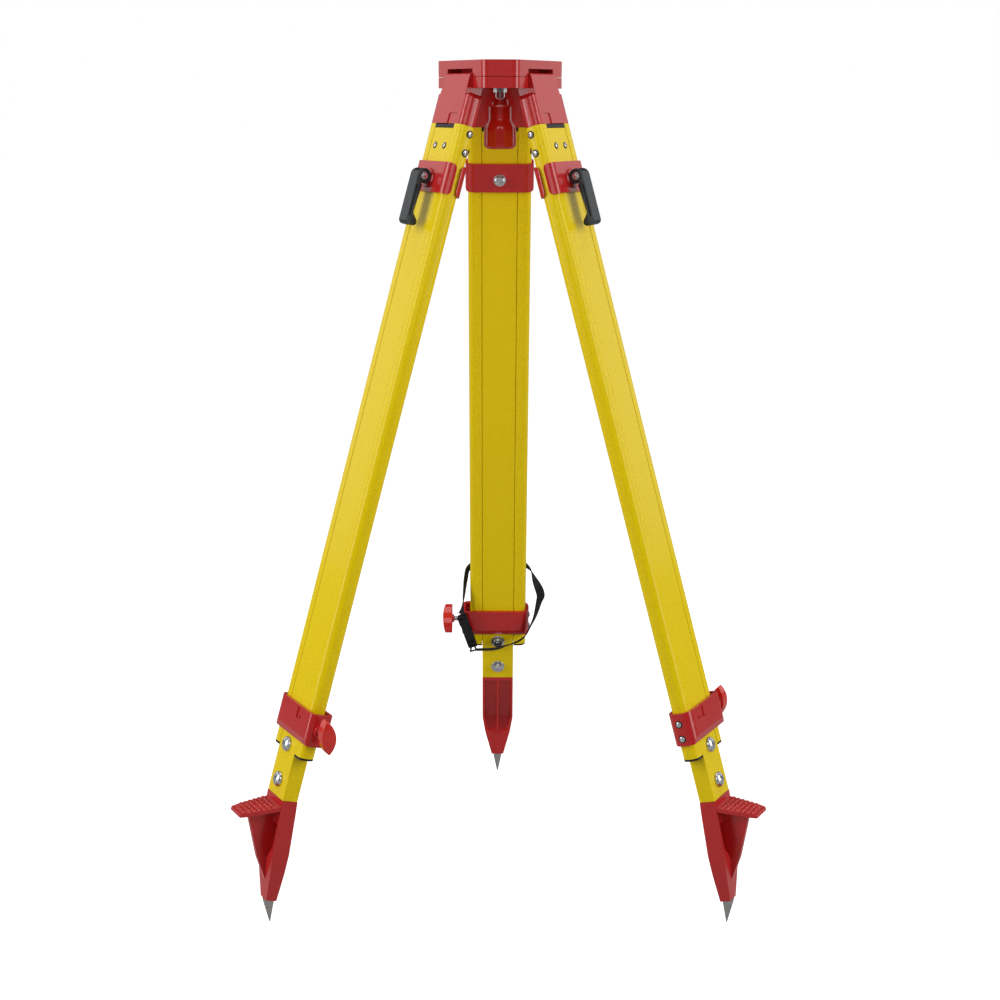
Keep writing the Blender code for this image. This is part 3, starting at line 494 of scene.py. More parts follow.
def hex_solid(radius, low, high, chamfer=0.0007):
    """Hexagonal head or nut along +Z with a chamfered top."""
    margin = 0.001
    flat, corner = radius * 0.84, radius * 1.03
    cone = turned([(0.0, high), (flat, high), (corner, high - chamfer * 1.6),
                   (corner, low - margin), (0.0, low - margin)])
    return combine(prism([hexagon(radius)], low, high), cone, "INTERSECT")


def dome(radius, height, seat=0.0008):
    """Low domed head along +Z on a thin cylindrical seat."""
    crown = height - seat
    angles = [math.radians(angle) for angle in range(0, 91, 9)]
    profile = [(radius * math.sin(angle), seat + crown * math.cos(angle)) for angle in angles]
    return turned(profile + [(radius, 0.0), (0.0, 0.0)], steps=40)


def socket_screw(radius, height):
    """Small pan-head screw along +Z with a hex socket."""
    socket_radius, socket_floor, seat = radius * 0.42, height * 0.25, height * 0.4
    socket = prism([hexagon(socket_radius)], socket_floor, height * 2)
    return cut(dome(radius, height, seat), socket)


def boss(radius, edge_in, edge_down, low, high, axis, origin):
    """Round boss with a chamfered rim, grown along an axis from low to high."""
    profile = [(0.0, high), (radius - edge_in, high), (radius, high - edge_down), (radius, low), (0.0, low)]
    return turned(profile, axis, origin)


def washer(outer, inner, height):
    edge = 0.0002
    return turned([(inner, height), (outer - edge, height), (outer, height - edge), (outer, 0.0),
                   (inner, 0.0), (inner, height)])


# ---- legs: tubes and board ----
def tube_outline(side, inset=0.0):
    """Section of one side tube: flat inner wall, rounded outer side. side is +1 or -1."""
    centre = (LEG_HALF.x - TUBE_ROUND, LEG_HALF.y - TUBE_ROUND)
    radius = TUBE_ROUND - inset
    inner = TUBE_INNER + inset
    half = LEG_HALF.x - inset
    edge = 0.0005
    points = [(half - edge, inner), (half, inner + edge)]
    points += arc(centre, radius, 0, 90, ROUND_STEPS)
    points += arc((-centre[0], centre[1]), radius, 90, 180, ROUND_STEPS)
    points += [(-half, inner + edge), (-half + edge, inner)]
    return [(x, side * y) for x, y in points]


def side_tube(side):
    """Side tube with a low tongue on its inner wall that closes the gap to the board."""
    tongue_half = 0.0015
    tongue_top = BOARD_HALF.y + 0.00004
    tongue = [(-tongue_half, TUBE_INNER), (-tongue_half, tongue_top), (tongue_half, tongue_top),
              (tongue_half, TUBE_INNER)]
    outline = tube_outline(side) + [(x, side * y) for x, y in tongue]
    return prism([outline, tube_outline(side, TUBE_WALL)], TUBE[0].z, TUBE[1].z)


def end_cap(side):
    """Moulded cap in a side tube's lower end: a thin flange and a plug."""
    flange, plug_depth, plug_gap, face_gap = 0.0028, 0.012, 0.0003, 0.0002
    low = TUBE[0].z
    cap = prism([tube_outline(side)], low - flange, low - face_gap)
    plug = prism([tube_outline(side, TUBE_WALL + plug_gap)], low - flange / 2, low + plug_depth)
    return join(cap, plug)


def board():
    """Sliding board: a hollow section with lightly rounded edges."""
    edge, hollow_x, hollow_y = 0.0012, 0.0080, 0.0170
    outside = rounded(BOARD_HALF.x, BOARD_HALF.y, edge, steps=4)
    hollow = rectangle(-hollow_x, hollow_x, -hollow_y, hollow_y)
    return prism([outside, hollow], BOARD[0].z, BOARD[1].z)


# ---- legs: hinge casting ----
def hinge_casting(recess):
    """Top casting: barrel, squared lug and neck, shoulders, and a recess in its lower edge."""
    margin = 0.001
    shoulder, full_width = -0.0135, -0.0205
    half = LEG_HALF.y
    body = prism([rounded(LEG_HALF.x, half, TUBE_ROUND, steps=ROUND_STEPS)], CASTING_END, shoulder)
    front = [(-BARREL_HALF, shoulder + margin), (-half - margin, full_width),
             (-half - margin, CASTING_END - margin), (half + margin, CASTING_END - margin),
             (half + margin, full_width), (BARREL_HALF, shoulder + margin)]
    body = combine(body, through(front, "yz"), "INTERSECT")

    barrel = LEG_HALF.x - 0.0003
    lug_top, lug_round, neck_low = 0.0105, 0.0045, -0.0300
    neck = arc((barrel - lug_round, lug_top - lug_round), lug_round, 0, 90, 8)
    neck += arc((0.0, 0.0), barrel, 95, 180, 20)
    neck += [(-barrel, neck_low), (barrel, neck_low)]
    body = join(body, prism([neck], -BARREL_HALF, BARREL_HALF, "xz"))

    slope_x, slope_low = (0.0050, 0.0130), -0.0192
    slope = [(slope_x[0], shoulder), (slope_x[1], slope_low), (slope_x[1], shoulder + margin),
             (slope_x[0], shoulder + margin)]
    for side in (-1, 1):
        body = cut(body, outwards(slope, "xz", side, BARREL_HALF + 0.0002))

    low_y, high_y = recess
    recess_half, recess_middle, recess_depth = 0.0080, -0.0490, 0.0013
    notch = rounded((high_y - low_y) / 2, recess_half, 0.0020, ((low_y + high_y) / 2, recess_middle), 4)
    return cut(body, outwards(notch, "yz", 1, LEG_HALF.x - recess_depth))


def casting_spigots():
    """The casting's two spigots, which fill the side tubes' upper ends."""
    gap, overlap = 0.0004, 0.001
    outlines = [tube_outline(side, TUBE_WALL + gap) for side in (-1, 1)]
    return grouped([prism([outline], CASTING[0].z, CASTING_END + overlap) for outline in outlines])


# ---- legs: quick clamp and lever ----
def leg_section(offset):
    """The leg's rounded section, standing off its tubes."""
    return rounded(LEG_HALF.x + offset, LEG_HALF.y + offset, TUBE_ROUND + offset, steps=ROUND_STEPS)


def clamp_plate(side):
    """Quick clamp plate hugging one face and both rounded edges. side +1 is the outer face."""
    margin = 0.001
    wall = 0.0030
    low, high = CLAMP_Z
    edge = PLATE[0].x
    face = LEG_HALF.x + CLEARANCE + wall
    shell = prism([leg_section(CLEARANCE + wall), leg_section(CLEARANCE)], low, high)
    keep = rounded(0.0510, (high - low) / 2, 0.0070, (0.0, (low + high) / 2))
    shell = combine(shell, prism([keep], edge, FAR, "yz"), "INTERSECT")

    corner = 0.0060
    ends = [(FAR, high + margin), (FAR, low - margin), (edge + corner, low - margin)]
    ends += arc((edge + corner, low + corner), corner, 270, 180, 8)
    ends += arc((edge + corner, high - corner), corner, 180, 90, 8)
    ends += [(edge + corner, high + margin)]
    shell = combine(shell, through(ends, "xz"), "INTERSECT")

    groove_half, groove_height, groove_depth = 0.0240, 0.0004, 0.0005
    groove = rounded(groove_half, groove_height, 0.0003, (0.0, low + 0.0065), 3)
    shell = cut(shell, outwards(groove, "yz", 1, face - groove_depth))
    if side < 0:
        return tidy_mesh(shell, Matrix.Scale(-1.0, 4, (1, 0, 0)))

    return join(shell, boss(0.0125, 0.0015, 0.0009, 0.0125, 0.0167, "x", (0, 0, CLAMP_BOLT_Z)))


def clamp_bolt():
    """Hex head with a washer on the inner plate, and the eye round the lever's pin."""
    face = -0.0150
    head_radius, dish_radius, dish_floor = 0.0070, 0.0036, 0.0030
    dish = rod(dish_radius, dish_floor, 0.0100, "z")
    head = cut(hex_solid(head_radius, 0.0, face - BOLTS[0].x), dish)
    head = aimed(head, (face, 0, CLAMP_BOLT_Z), (-1, 0, 0))
    ring = aimed(washer(0.0082, 0.0030, 0.0010), (face + 0.0002, 0, CLAMP_BOLT_Z), (-1, 0, 0))
    eye_radius, eye_half, shaft_radius = 0.0068, 0.0038, 0.0040
    eye = rod(eye_radius, -eye_half, eye_half, "y", (LEVER_PIVOT[0], 0, LEVER_PIVOT[1]))
    shaft = rod(shaft_radius, face, LEVER_PIVOT[0] - shaft_radius, "x", (0, 0, CLAMP_BOLT_Z))
    return grouped([head, ring, eye, shaft])


def lever_pin():
    """Riveted pin through the lever's fork, with a thin washer at each end."""
    radius, crown = 0.0034, 0.0016
    half = LEVER_AXLE[1].y
    angles = [math.radians(angle) for angle in range(0, 91, 15)]
    end = [(radius * math.sin(angle), half - crown * (1 - math.cos(angle))) for angle in angles]
    profile = end + [(point_radius, -height) for point_radius, height in reversed(end)]
    pin = turned(profile, "y", (LEVER_PIVOT[0], 0, LEVER_PIVOT[1]))
    rings = [aimed(washer(0.0046, 0.0028, 0.0006), (LEVER_PIVOT[0], side * LEVER_HALF, LEVER_PIVOT[1]),
                   (0, side, 0)) for side in (-1, 1)]
    return grouped([pin] + rings)


def lever_outline(outer, end):
    """Side view of the lever: round cam head, straight back and a lip curled towards the leg."""
    pivot_z = LEVER_PIVOT[1]
    outline = arc(LEVER_PIVOT, LEVER_RADIUS, 0, 290, 30)
    outline += [(outer - 0.0098, pivot_z - 0.0115), (outer - 0.0068, end + 0.0180)]
    inner_bend, lip_bend, tip = 0.0038, 0.0050, 0.0056
    outline += arc((outer - 0.0106, end + 0.0170), inner_bend, 0, -60, 5)
    outline += arc((outer - 2 * lip_bend, end + lip_bend), lip_bend, 150, 270, 8)
    outline += arc((outer - 0.0052, end + tip), tip, 275, 360, 6)
    return outline


def cam_lever():
    """Cam lever lying along the leg: forked round head, ribbed arm and a curled lip."""
    pivot_x, pivot_z = LEVER_PIVOT
    outer = pivot_x + LEVER_RADIUS
    end = LEVER[0].z
    lever = prism([lever_outline(outer, end)], -LEVER_HALF, LEVER_HALF, "xz")

    slot_half, slot_top = 0.0043, pivot_z + 0.02
    roof = outer - 0.0016
    slot = [(0.0, pivot_z - 0.0078), (roof, pivot_z - 0.0078), (roof, pivot_z + 0.0060),
            (roof - 0.0035, slot_top), (0.0, slot_top)]
    lever = cut(lever, prism([slot], -slot_half, slot_half, "xz"))

    arm_middle = (pivot_z + end) / 2 - 0.0010
    channel_depth = 0.0016
    channel = rounded(0.0011, 0.0200, 0.0010, (outer - 0.0024, arm_middle), 4)
    for side in (-1, 1):
        lever = cut(lever, outwards(channel, "xz", side, LEVER_HALF - channel_depth))
    back_wall = 0.0030
    hollow = rounded(0.0066, 0.0190, 0.0020, (0.0, arm_middle), 4)
    return cut(lever, prism([hollow], 0.0, outer - back_wall, "yz"))


# ---- legs: lower clamp and wing ----
def band_loop(offset):
    """Outline round both tubes, standing off them on the screw's side (+Y)."""
    screw_side, screw_round = 0.0500, 0.0040
    half_x = LEG_HALF.x + CLEARANCE
    tube_round = TUBE_ROUND + CLEARANCE
    screw_x, screw_y = half_x - screw_round, screw_side - screw_round
    fixed_x, fixed_y = half_x - tube_round, tube_round - LEG_HALF.y - CLEARANCE
    points = arc((screw_x, screw_y), screw_round + offset, 0, 90, 8)
    points += arc((-screw_x, screw_y), screw_round + offset, 90, 180, 8)
    points += arc((-fixed_x, fixed_y), tube_round + offset, 180, 270, 12)
    points += arc((fixed_x, fixed_y), tube_round + offset, 270, 360, 12)
    return points


def lower_clamp(recess_y):
    """Clamp band with chamfered lower edges, a recessed pad and a boss for the wing screw."""
    margin = 0.001
    low, high = BAND[0].z, BAND[1].z
    face = BAND[1].x
    band = prism([band_loop(BAND_WALL), band_loop(0.0)], low, high)

    chamfer_top, chamfer_depth, below = -0.8477, 0.0033, low - 0.0003
    for side in (-1, 1):
        outer, inner = side * (face + margin), side * (face - chamfer_depth)
        band = cut(band, through([(outer, chamfer_top), (inner, below), (outer, below)], "xz"))

    pad_drop, pad_depth = 0.0100, 0.0014
    hole_radius, hole_depth, hole_drop, hole_shift = 0.0019, 0.004, 0.0145, 0.003
    pad = rounded(0.0105, 0.0075, 0.0015, (recess_y, high - pad_drop), 4)
    band = cut(band, outwards(pad, "yz", 1, face - pad_depth))
    hole_place = (0, recess_y - hole_shift, high - hole_drop)
    band = cut(band, rod(hole_radius, face - hole_depth, FAR, "x", hole_place))

    return join(band, boss(0.0085, 0.0009, 0.0009, 0.0520, 0.0585, "y", (0, 0, WING_Z)))


def wing_body(lean):
    """Pointed oval wing with a crowned outer side and a hub, turned by the lean."""
    half_long, half_wide = 0.0235, 0.0098
    low, high = 0.0705, WING[1].y
    radius = (half_long ** 2 + half_wide ** 2) / (2 * half_wide)
    sweep = math.degrees(math.asin(half_long / radius))
    lens = arc((half_wide - radius, 0.0), radius, -sweep, sweep, 20)[:-1]
    lens += arc((radius - half_wide, 0.0), radius, 180 - sweep, 180 + sweep, 20)[:-1]
    wing = prism([lens], low, high, "xz")
    crown_radius, crown_half = 0.075, 0.03
    crown = rod(crown_radius, -crown_half, crown_half, "x", (0, high - crown_radius, 0), 128)
    wing = combine(wing, crown, "INTERSECT")
    hub_radius, hub_reach, hub_overlap = 0.0062, 0.0030, 0.002
    hub = rod(hub_radius, low - hub_reach, low + hub_overlap, "y")
    return tidy_mesh(join(wing, hub), Matrix.Translation((0, 0, WING_Z)) @ Matrix.Rotation(lean, 4, "Y"))


def wing_shank():
    """Threaded shank of the wing screw with its pressure pad."""
    low, high = LEG_HALF.y + 0.0006, 0.0720
    crest, root, pitch, turns = 0.0036, 0.0031, 0.0010, 22
    pad_radius, pad_height = 0.0060, 0.0030
    profile = [(0.0, high)]
    for k in range(turns):
        profile += [(crest, high - pitch * k), (root, high - pitch * (k + 0.5))]
    profile += [(crest, low + pad_height), (pad_radius, low + pad_height), (pad_radius, low), (0.0, low)]
    return turned(profile, "y", (0, 0, WING_Z))


# ---- legs: foot ----
NOSE_X, NOSE_HALF = -0.0172, (0.0074, 0.0092)
SEAM = 0.0003  # gap between the casting and the parts that meet it
STEP_HALF = 0.0240
STEP_REACH = 0.0600
STEP_TOP = (0.0060, -0.9500)  # where the step's top leaves the shoe, in X and Z
STEP_EDGE = (STEP_REACH, -0.9675)
POINT_TIP = Vector((-0.0277, 0.0, -1.115))


def foot_pocket(side):
    """Cutter for one pocket in the shoe's inner side, beside the central rib."""
    top, floor_x = -0.9480, -0.0055
    rib_half, wall_y = 0.0014, 0.0208
    floor = [(-FAR, top), (floor_x, top), (floor_x, -1.0200), (-0.0205, -1.0460), (-FAR, -1.0460)]
    front = [(rib_half, top), (wall_y, top), (wall_y, -1.0140), (0.0160, -1.0380), (rib_half, -1.0455)]
    front = [(side * y, z) for y, z in front]
    return combine(through(floor, "xz"), prism([front], -FAR, 0.0, "yz"), "INTERSECT")


def foot_recess():
    """Cutter for the opening under the step, which narrows to a point down the shoe's outer side."""
    half, top, shoulder, tip = 0.0210, -0.9745, -1.0060, -1.0320
    below = tip - 0.0010
    floor = [(FAR, top), (-0.0030, top), (0.0005, below), (FAR, below)]
    front = [(-half, -0.97), (half, -0.97), (half, shoulder), (0.0, tip), (-half, shoulder)]
    return combine(through(floor, "xz"), prism([front], -0.02, FAR, "yz"), "INTERSECT")


def foot_step():
    """The step itself, tapered towards its front edge in both views."""
    front_depth, corner_length, corner_half, front_half = 0.0045, 0.0100, 0.0190, 0.0160
    side_view = [STEP_TOP, STEP_EDGE, (STEP_REACH, STEP_EDGE[1] - front_depth), (STEP_TOP[0], -0.9560)]
    half_view = [(0.0, STEP_HALF), (STEP_REACH - corner_length, corner_half), (STEP_REACH, front_half)]
    top_view = [(x, -y) for x, y in half_view] + half_view[::-1]
    return combine(through(side_view, "xz"), prism([top_view], -1.0, -0.9), "INTERSECT")


def foot_casting():
    """Foot: pocketed shoe bent towards upright, with a step and a gusset."""
    half_x, half_y = BOARD_HALF
    nose_z = FOOT[0].z
    side_view = [(half_x, FOOT_TOP - SEAM), (-half_x, FOOT_TOP - SEAM), (-half_x - 0.0020, -0.9600),
                 (NOSE_X - NOSE_HALF[0], nose_z), (NOSE_X + NOSE_HALF[0], nose_z), (0.0060, -1.0150)]
    right = [(half_y, -0.94), (half_y, -1.0150), (0.0195, -1.0420), (NOSE_HALF[1], nose_z - SEAM)]
    front_view = right + [(-y, z) for y, z in reversed(right)]
    foot = combine(through(side_view, "xz"), through(front_view, "yz"), "INTERSECT")
    foot = cut(foot, foot_pocket(1), foot_pocket(-1), foot_recess())

    gusset_half = 0.0032
    gusset = [(-0.0050, -0.9530), (0.0450, -0.9650), (0.0420, -0.9730), (0.0160, -1.0260), (-0.0060, -1.0600)]
    return join(foot, foot_step(), prism([gusset], -gusset_half, gusset_half, "xz"))


def step_treads():
    """Rows of rounded studs across the step, as its anti-slip tread."""
    rows, columns = 7, 6
    first_row, row_pitch = 0.0120, 0.0065
    first_half, row_taper, last_row_inset = 0.0225, 0.0050, 0.0025
    stud_radius, stud_root = 0.0027, -0.0004
    stud_profile = [(0.0, 0.0026), (0.0012, 0.0022), (0.0023, 0.0010), (stud_radius, stud_root),
                    (0.0, stud_root)]
    slope = Vector((STEP_EDGE[0] - STEP_TOP[0], 0.0, STEP_EDGE[1] - STEP_TOP[1])).normalized()
    up = Vector((-slope.z, 0.0, slope.x))
    studs = []
    for row in range(rows):
        inset = last_row_inset if row == rows - 1 else 0.0
        half_width = first_half - row_taper * row / (rows - 1) - inset
        stretch = Matrix.Diagonal((1.15, half_width / columns / stud_radius * 0.95, 1.0, 1.0))
        for column in range(columns):
            y = half_width * (2 * (column + 0.5) / columns - 1)
            centre = Vector((STEP_TOP[0], y, STEP_TOP[1])) + slope * (first_row + row_pitch * row)
            stud = moved(turned(stud_profile, steps=12), stretch)
            studs.append(moved(stud, space_of(slope, Vector((0, 1, 0)), up, centre)))
    return grouped(studs)


def steel_point():
    """Conical point with a short collar. It is upright when the leg stands at its rest tilt."""
    nose = Vector((NOSE_X, 0.0, FOOT[0].z - SEAM))
    length = (POINT_TIP - nose).length
    root, collar_radius, cone_radius, tip_radius = -0.004, 0.0078, 0.0076, 0.0006
    cone = turned([(0.0, root), (collar_radius, root), (cone_radius, 0.0008),
                   (tip_radius, length - tip_radius), (0.0, length)])
    cone = aimed(cone, nose, POINT_TIP - nose)
    below = prism([rectangle(-FAR, FAR, -FAR, FAR)], POINT_TIP.z - FAR, nose.z)
    return combine(cone, below, "INTERSECT")


def foot_bolt(z):
    """Through bolt: a domed head on the outer face, a washer, nut and thread end on the inner."""
    face = BOARD_HALF.x + 0.0003
    ring_height, nut_height = 0.0014, 0.0054
    head = aimed(dome(0.0100, 0.0066), (face, 0, z), (1, 0, 0))
    ring = aimed(washer(0.0103, 0.0036, ring_height), (-face, 0, z), (-1, 0, 0))
    nut = aimed(hex_solid(0.0076, 0.0, nut_height), (-face - ring_height, 0, z), (-1, 0, 0))
    end = aimed(dome(0.0034, 0.0018), (-face - 0.0062, 0, z), (-1, 0, 0))
    return grouped([head, ring, nut, end])


# ---- legs: small screws ----
def small_screws():
    """Places and directions of a leg's small screws that ride with its tubes."""
    places = []
    for side in (-1, 1):
        normal = Vector((-0.20, side * 0.98, 0.0)).normalized()
        for z in (-0.0643, -0.0879):
            centre = Vector((-LEG_HALF.x + TUBE_ROUND, side * (LEG_HALF.y - TUBE_ROUND), z))
            places.append((centre + normal * TUBE_ROUND, normal))
    for z in (-0.8301, -0.8497):
        places.append((Vector((-0.0004, BAND[0].y, z)), Vector((0, -1, 0))))
    return places


def plug_screws():
    """Places and directions of the two screws through the plug in the board's upper end."""
    half_apart, z = 0.012, -0.0828
    return [(Vector((BOARD_HALF.x, y, z)), Vector((1, 0, 0))) for y in (-half_apart, half_apart)]


def screws_and_shade_rings(places, radius):
    """Two meshes: the screws at these places, and black washer-shaped discs under their heads that paint the shade
    round each head.
    """
    height, rim, ring_height, sunk = 0.0020, 0.0013, 0.0006, 0.0002
    screws = [aimed(socket_screw(radius, height), place, direction) for place, direction in places]
    # Black washer-shaped discs under the heads: painted shade round each screw head.
    rings = [aimed(washer(radius + rim, 0.001, ring_height), place - direction * sunk, direction)
             for place, direction in places]
    return grouped(screws), grouped(rings)


# ---- legs: assembly ----
PAD_Y = {"rear": 0.0, "left": 0.0230, "right": -0.0135}
RECESS_Y = {"rear": (-0.0115, 0.0115), "left": (0.0040, 0.0270), "right": (-0.0240, -0.0080)}
WING_LEAN = {"rear": 50.0, "left": 20.0, "right": 20.0}
TUBE_SCREW_RADIUS, PLUG_SCREW_RADIUS = 0.0036, 0.0031


def build_leg(leg):
    """Adds every visible piece of one leg."""
    upper, lower = leg + "_upper_leg", leg + "_lower_leg"
    lean = math.radians(WING_LEAN[leg])

    def add(name, mesh, body, slot, replaced=True, bevel=0.0, segments=3):
        nodes = (leg + "_" + name,) if replaced else ()
        add_piece(leg + "_" + name + "_look", mesh, LEG_SPACE[leg], body, slot, nodes, bevel, segments)

    add("hinge_casting", hinge_casting(RECESS_Y[leg]), upper, "red_paint", bevel=0.0008)
    add("casting_spigots", casting_spigots(), upper, "red_paint", False, bevel=0.0003)
    for side, name in ((1, "left"), (-1, "right")):
        add("tube_" + name, side_tube(side), upper, "fibreglass", bevel=0.0003, segments=2)
        add("end_cap_" + name, end_cap(side), upper, "black_plastic", False, bevel=0.0003)
    add("lower_clamp", lower_clamp(PAD_Y[leg]), upper, "red_paint", bevel=0.0008)
    screws, rings = screws_and_shade_rings(small_screws(), TUBE_SCREW_RADIUS)
    add("tube_screws", screws, upper, "bright_steel", False)
    # Black discs under the tube screws' heads: painted shade round each head.
    add("tube_screw_shade_rings", rings, upper, "black_plastic", False)
    add("inner_leg", board(), lower, "fibreglass", bevel=0.0003, segments=2)
    screws, rings = screws_and_shade_rings(plug_screws(), PLUG_SCREW_RADIUS)
    add("plug_screws", screws, lower, "bright_steel", False)
    # Black discs under the plug screws' heads: painted shade round each head.
    add("plug_screw_shade_rings", rings, lower, "black_plastic", False)
    add("clamp_plate_outer", clamp_plate(1), lower, "red_paint", bevel=0.0007)
    add("clamp_plate_inner", clamp_plate(-1), lower, "red_paint", bevel=0.0007)
    add("clamp_bolt", clamp_bolt(), lower, "bright_steel", bevel=0.0002, segments=2)
    add("lever_pin", lever_pin(), lower, "bright_steel")
    add("foot_casting", foot_casting(), lower, "red_paint", bevel=0.0009)
    add("step_treads", step_treads(), lower, "red_paint", False)
    add("steel_point", steel_point(), lower, "point_steel")
    add("foot_bolt_upper", foot_bolt(FOOT_BOLT_Z[0]), lower, "bright_steel")
    add("foot_bolt_lower", foot_bolt(FOOT_BOLT_Z[1]), lower, "bright_steel")
    add("cam_lever", cam_lever(), leg + "_lever", "lever_plastic", bevel=0.0009)
    add("wing_screw", wing_body(lean), leg + "_wing", "knob_red", bevel=0.0018, segments=4)
    add("wing_shank", wing_shank(), leg + "_wing", "bright_steel", False)


# ---- head ----
LEG_AZIMUTH = {"rear": 90.0, "left": 210.0, "right": 330.0}
POCKET_INNER, POCKET_HALF, POCKET_TOP = 0.0400, 0.0325, -0.0105
HEAD_BORE, RING_BORE = 0.0310, 0.0360
BORE_STEPS = 96


def about_axis(mesh, azimuth):
    """The mesh turned about the tripod's axis, in degrees."""
    return moved(mesh, Matrix.Rotation(math.radians(azimuth), 4, "Z"))


def head_corners():
    """Where the lines of neighbouring long and short facets cross, starting over the rear leg."""
    corners = []
    for index in range(6):
        facets = (LONG_FACET, SHORT_FACET)
        if index % 2:
            facets = facets[::-1]
        first = math.radians(90 + 60 * index)
        second = first + math.radians(60)
        spread = math.sin(second - first)
        x = (facets[0] * math.sin(second) - facets[1] * math.sin(first)) / spread
        y = (facets[1] * math.cos(first) - facets[0] * math.cos(second)) / spread
        corners.append(Vector((x, y)))
    return corners


def head_outline(corner=0.0075, steps=12):
    """Hexagon with long facets over the legs, short facets between them, and rounded corners."""
    corners = head_corners()
    points = []
    for index, point in enumerate(corners):
        before = point + (corners[index - 1] - point).normalized() * corner
        after = point + (corners[(index + 1) % 6] - point).normalized() * corner
        for step in range(steps + 1):
            t = step / steps
            place = before * (1 - t) ** 2 + point * 2 * t * (1 - t) + after * t ** 2
            points.append((place.x, place.y))
    return points


def head_pocket(low, high, azimuth):
    """Box cut over one hinge, open through the long facet."""
    pocket = prism([rectangle(POCKET_INNER, 0.10, -POCKET_HALF, POCKET_HALF)], low, high)
    return about_axis(pocket, azimuth)


def head_plate():
    """Top casting, whose seat stands out as a ring inside a shallow turned groove."""
    margin = 0.001
    low = HEAD_PLATE[0].z
    plate = prism([head_outline(), circle(HEAD_BORE, BORE_STEPS)], low, 0.0)
    plate = cut(plate, *[head_pocket(low - margin, POCKET_TOP, LEG_AZIMUTH[leg]) for leg in LEGS])
    groove_inner, groove_outer, groove_floor = HEAD_BORE + 0.0050, HEAD_BORE + 0.0060, -0.0006
    groove = [circle(groove_outer, BORE_STEPS), circle(groove_inner, BORE_STEPS)]
    return cut(plate, prism(groove, groove_floor, 0.01))


def head_ring():
    """Lower casting: forked over each hinge, with a fan-shaped recess for the arm's swing."""
    margin, arm_gap = 0.001, 0.0004
    low, high = HEAD_RING[0].z, HEAD_RING[1].z
    ring = prism([head_outline(), circle(RING_BORE, BORE_STEPS)], low, high)
    ring = cut(ring, *[head_pocket(low - margin, high + margin, LEG_AZIMUTH[leg]) for leg in LEGS])
    arm_low = local_box("swing_arm", HEAD)[0].z
    pivot_x, pivot_radius, mouth_x, mouth_half, arm_azimuth = 0.0520, 0.0111, 0.0182, 0.0245, 150.0
    fan = arc((pivot_x, 0.0), pivot_radius, -70, 70, 16) + [(mouth_x, mouth_half), (mouth_x, -mouth_half)]
    return cut(ring, about_axis(prism([fan], arm_low - arm_gap, high + margin), arm_azimuth))


def fluted(profile, flutes, depth, low, high):
    """A turned solid whose surface is fluted between two heights."""
    steps = flutes * 8
    rings = []
    for radius, height in profile:
        has_flutes = low <= height <= high and radius > depth * 4
        ring = []
        for k in range(steps):
            angle = 2 * math.pi * k / steps
            wave = max(0.0, math.cos(flutes * angle)) ** 2
            r = radius - (depth * wave if has_flutes else 0.0)
            ring.append((r * math.cos(angle), r * math.sin(angle), height))
        rings.append(ring)
    return lofted(rings)


def screw_knob():
    """Bell-shaped hand knob: crowned neck, round body, flared and fluted drum."""
    top, bottom = -0.0466, -0.1097
    neck = [(0.0046, top), (0.0098, top), (0.0106, top - 0.0009), (0.0106, -0.0545)]
    body = [(0.0112, -0.0553), (0.0142, -0.0558), (0.0150, -0.0567), (0.0151, -0.0722)]
    flare = [(0.0158, -0.0745), (0.0200, -0.0806), (0.0207, -0.0824), (0.0209, -0.0850)]
    drum = [(0.0209, -0.1030), (0.0203, -0.1060), (0.0185, -0.1083), (0.0150, bottom), (0.0, bottom)]
    flutes, flute_depth, flute_low, flute_high = 12, 0.0008, -0.1040, -0.0815
    knob = fluted(neck + body + flare + drum, flutes, flute_depth, flute_low, flute_high)
    slots, slot_half, slot_depth, slot_turn = 4, 0.0016, 0.0045, 25
    for k in range(slots):
        slot = prism([rectangle(0.0, 0.02, -slot_half, slot_half)], top - slot_depth, top + 0.01)
        knob = cut(knob, about_axis(slot, 360 / slots * k + slot_turn))
    return knob


def fixing_screw():
    """Instrument screw: threaded top, hex collar under the arm and a bright shank to the knob."""
    low, high = local_box("fixing_screw", HEAD)
    crest, root, pitch, turns = 0.0079, 0.0070, 0.0023, 7
    lead_in = 0.0016
    profile = [(0.0, high.z), (0.0062, high.z)]
    for k in range(turns):
        profile += [(crest, high.z - lead_in - pitch * k), (root, high.z - lead_in - pitch * (k + 0.5))]
    shank = [(0.0048, -0.0195), (0.0048, -0.0253), (0.0066, -0.0256), (0.0066, -0.0330), (0.0060, -0.0392),
             (0.0060, -0.0450), (0.0045, -0.0455), (0.0045, low.z), (0.0, low.z)]
    collar_radius, collar_height, collar_chamfer, collar_z = 0.0086, 0.0052, 0.0005, -0.0388
    collar = hex_solid(collar_radius, 0.0, collar_height, collar_chamfer)
    return grouped([turned(profile + shank), moved(collar, Matrix.Translation((0, 0, collar_z)))])


def build_head():
    """Adds the head's redrawn pieces. Its pins, arm and bush stay as the CAD shows them."""
    add_piece("head_plate_look", head_plate(), HEAD, "head", "red_paint", ("head_plate",), 0.0009)
    add_piece("head_ring_look", head_ring(), HEAD, "head", "red_paint", ("head_ring",), 0.0009)
    add_piece("screw_knob_look", screw_knob(), HEAD, "screw", "knob_red", ("screw_knob",))
    add_piece("fixing_screw_look", fixing_screw(), HEAD, "screw", "bright_steel", ("fixing_screw",))


# ---- strap on the rear leg ----
STRAP_WIDTH, STRAP_THICKNESS = 0.0130, 0.0016
BUCKLE_ENDS = (Vector((-0.0255, 0.0381, -0.8730)), Vector((-0.0245, 0.0556, -0.8165)))
BUCKLE_HALF = 0.0075
LINK_CORNERS = (Vector((-0.0256, 0.0405, -0.8722)), Vector((-0.0256, 0.0425, -0.8822)),
                Vector((-0.0256, 0.0335, -0.8796)), Vector((-0.0256, 0.0360, -0.8722)))

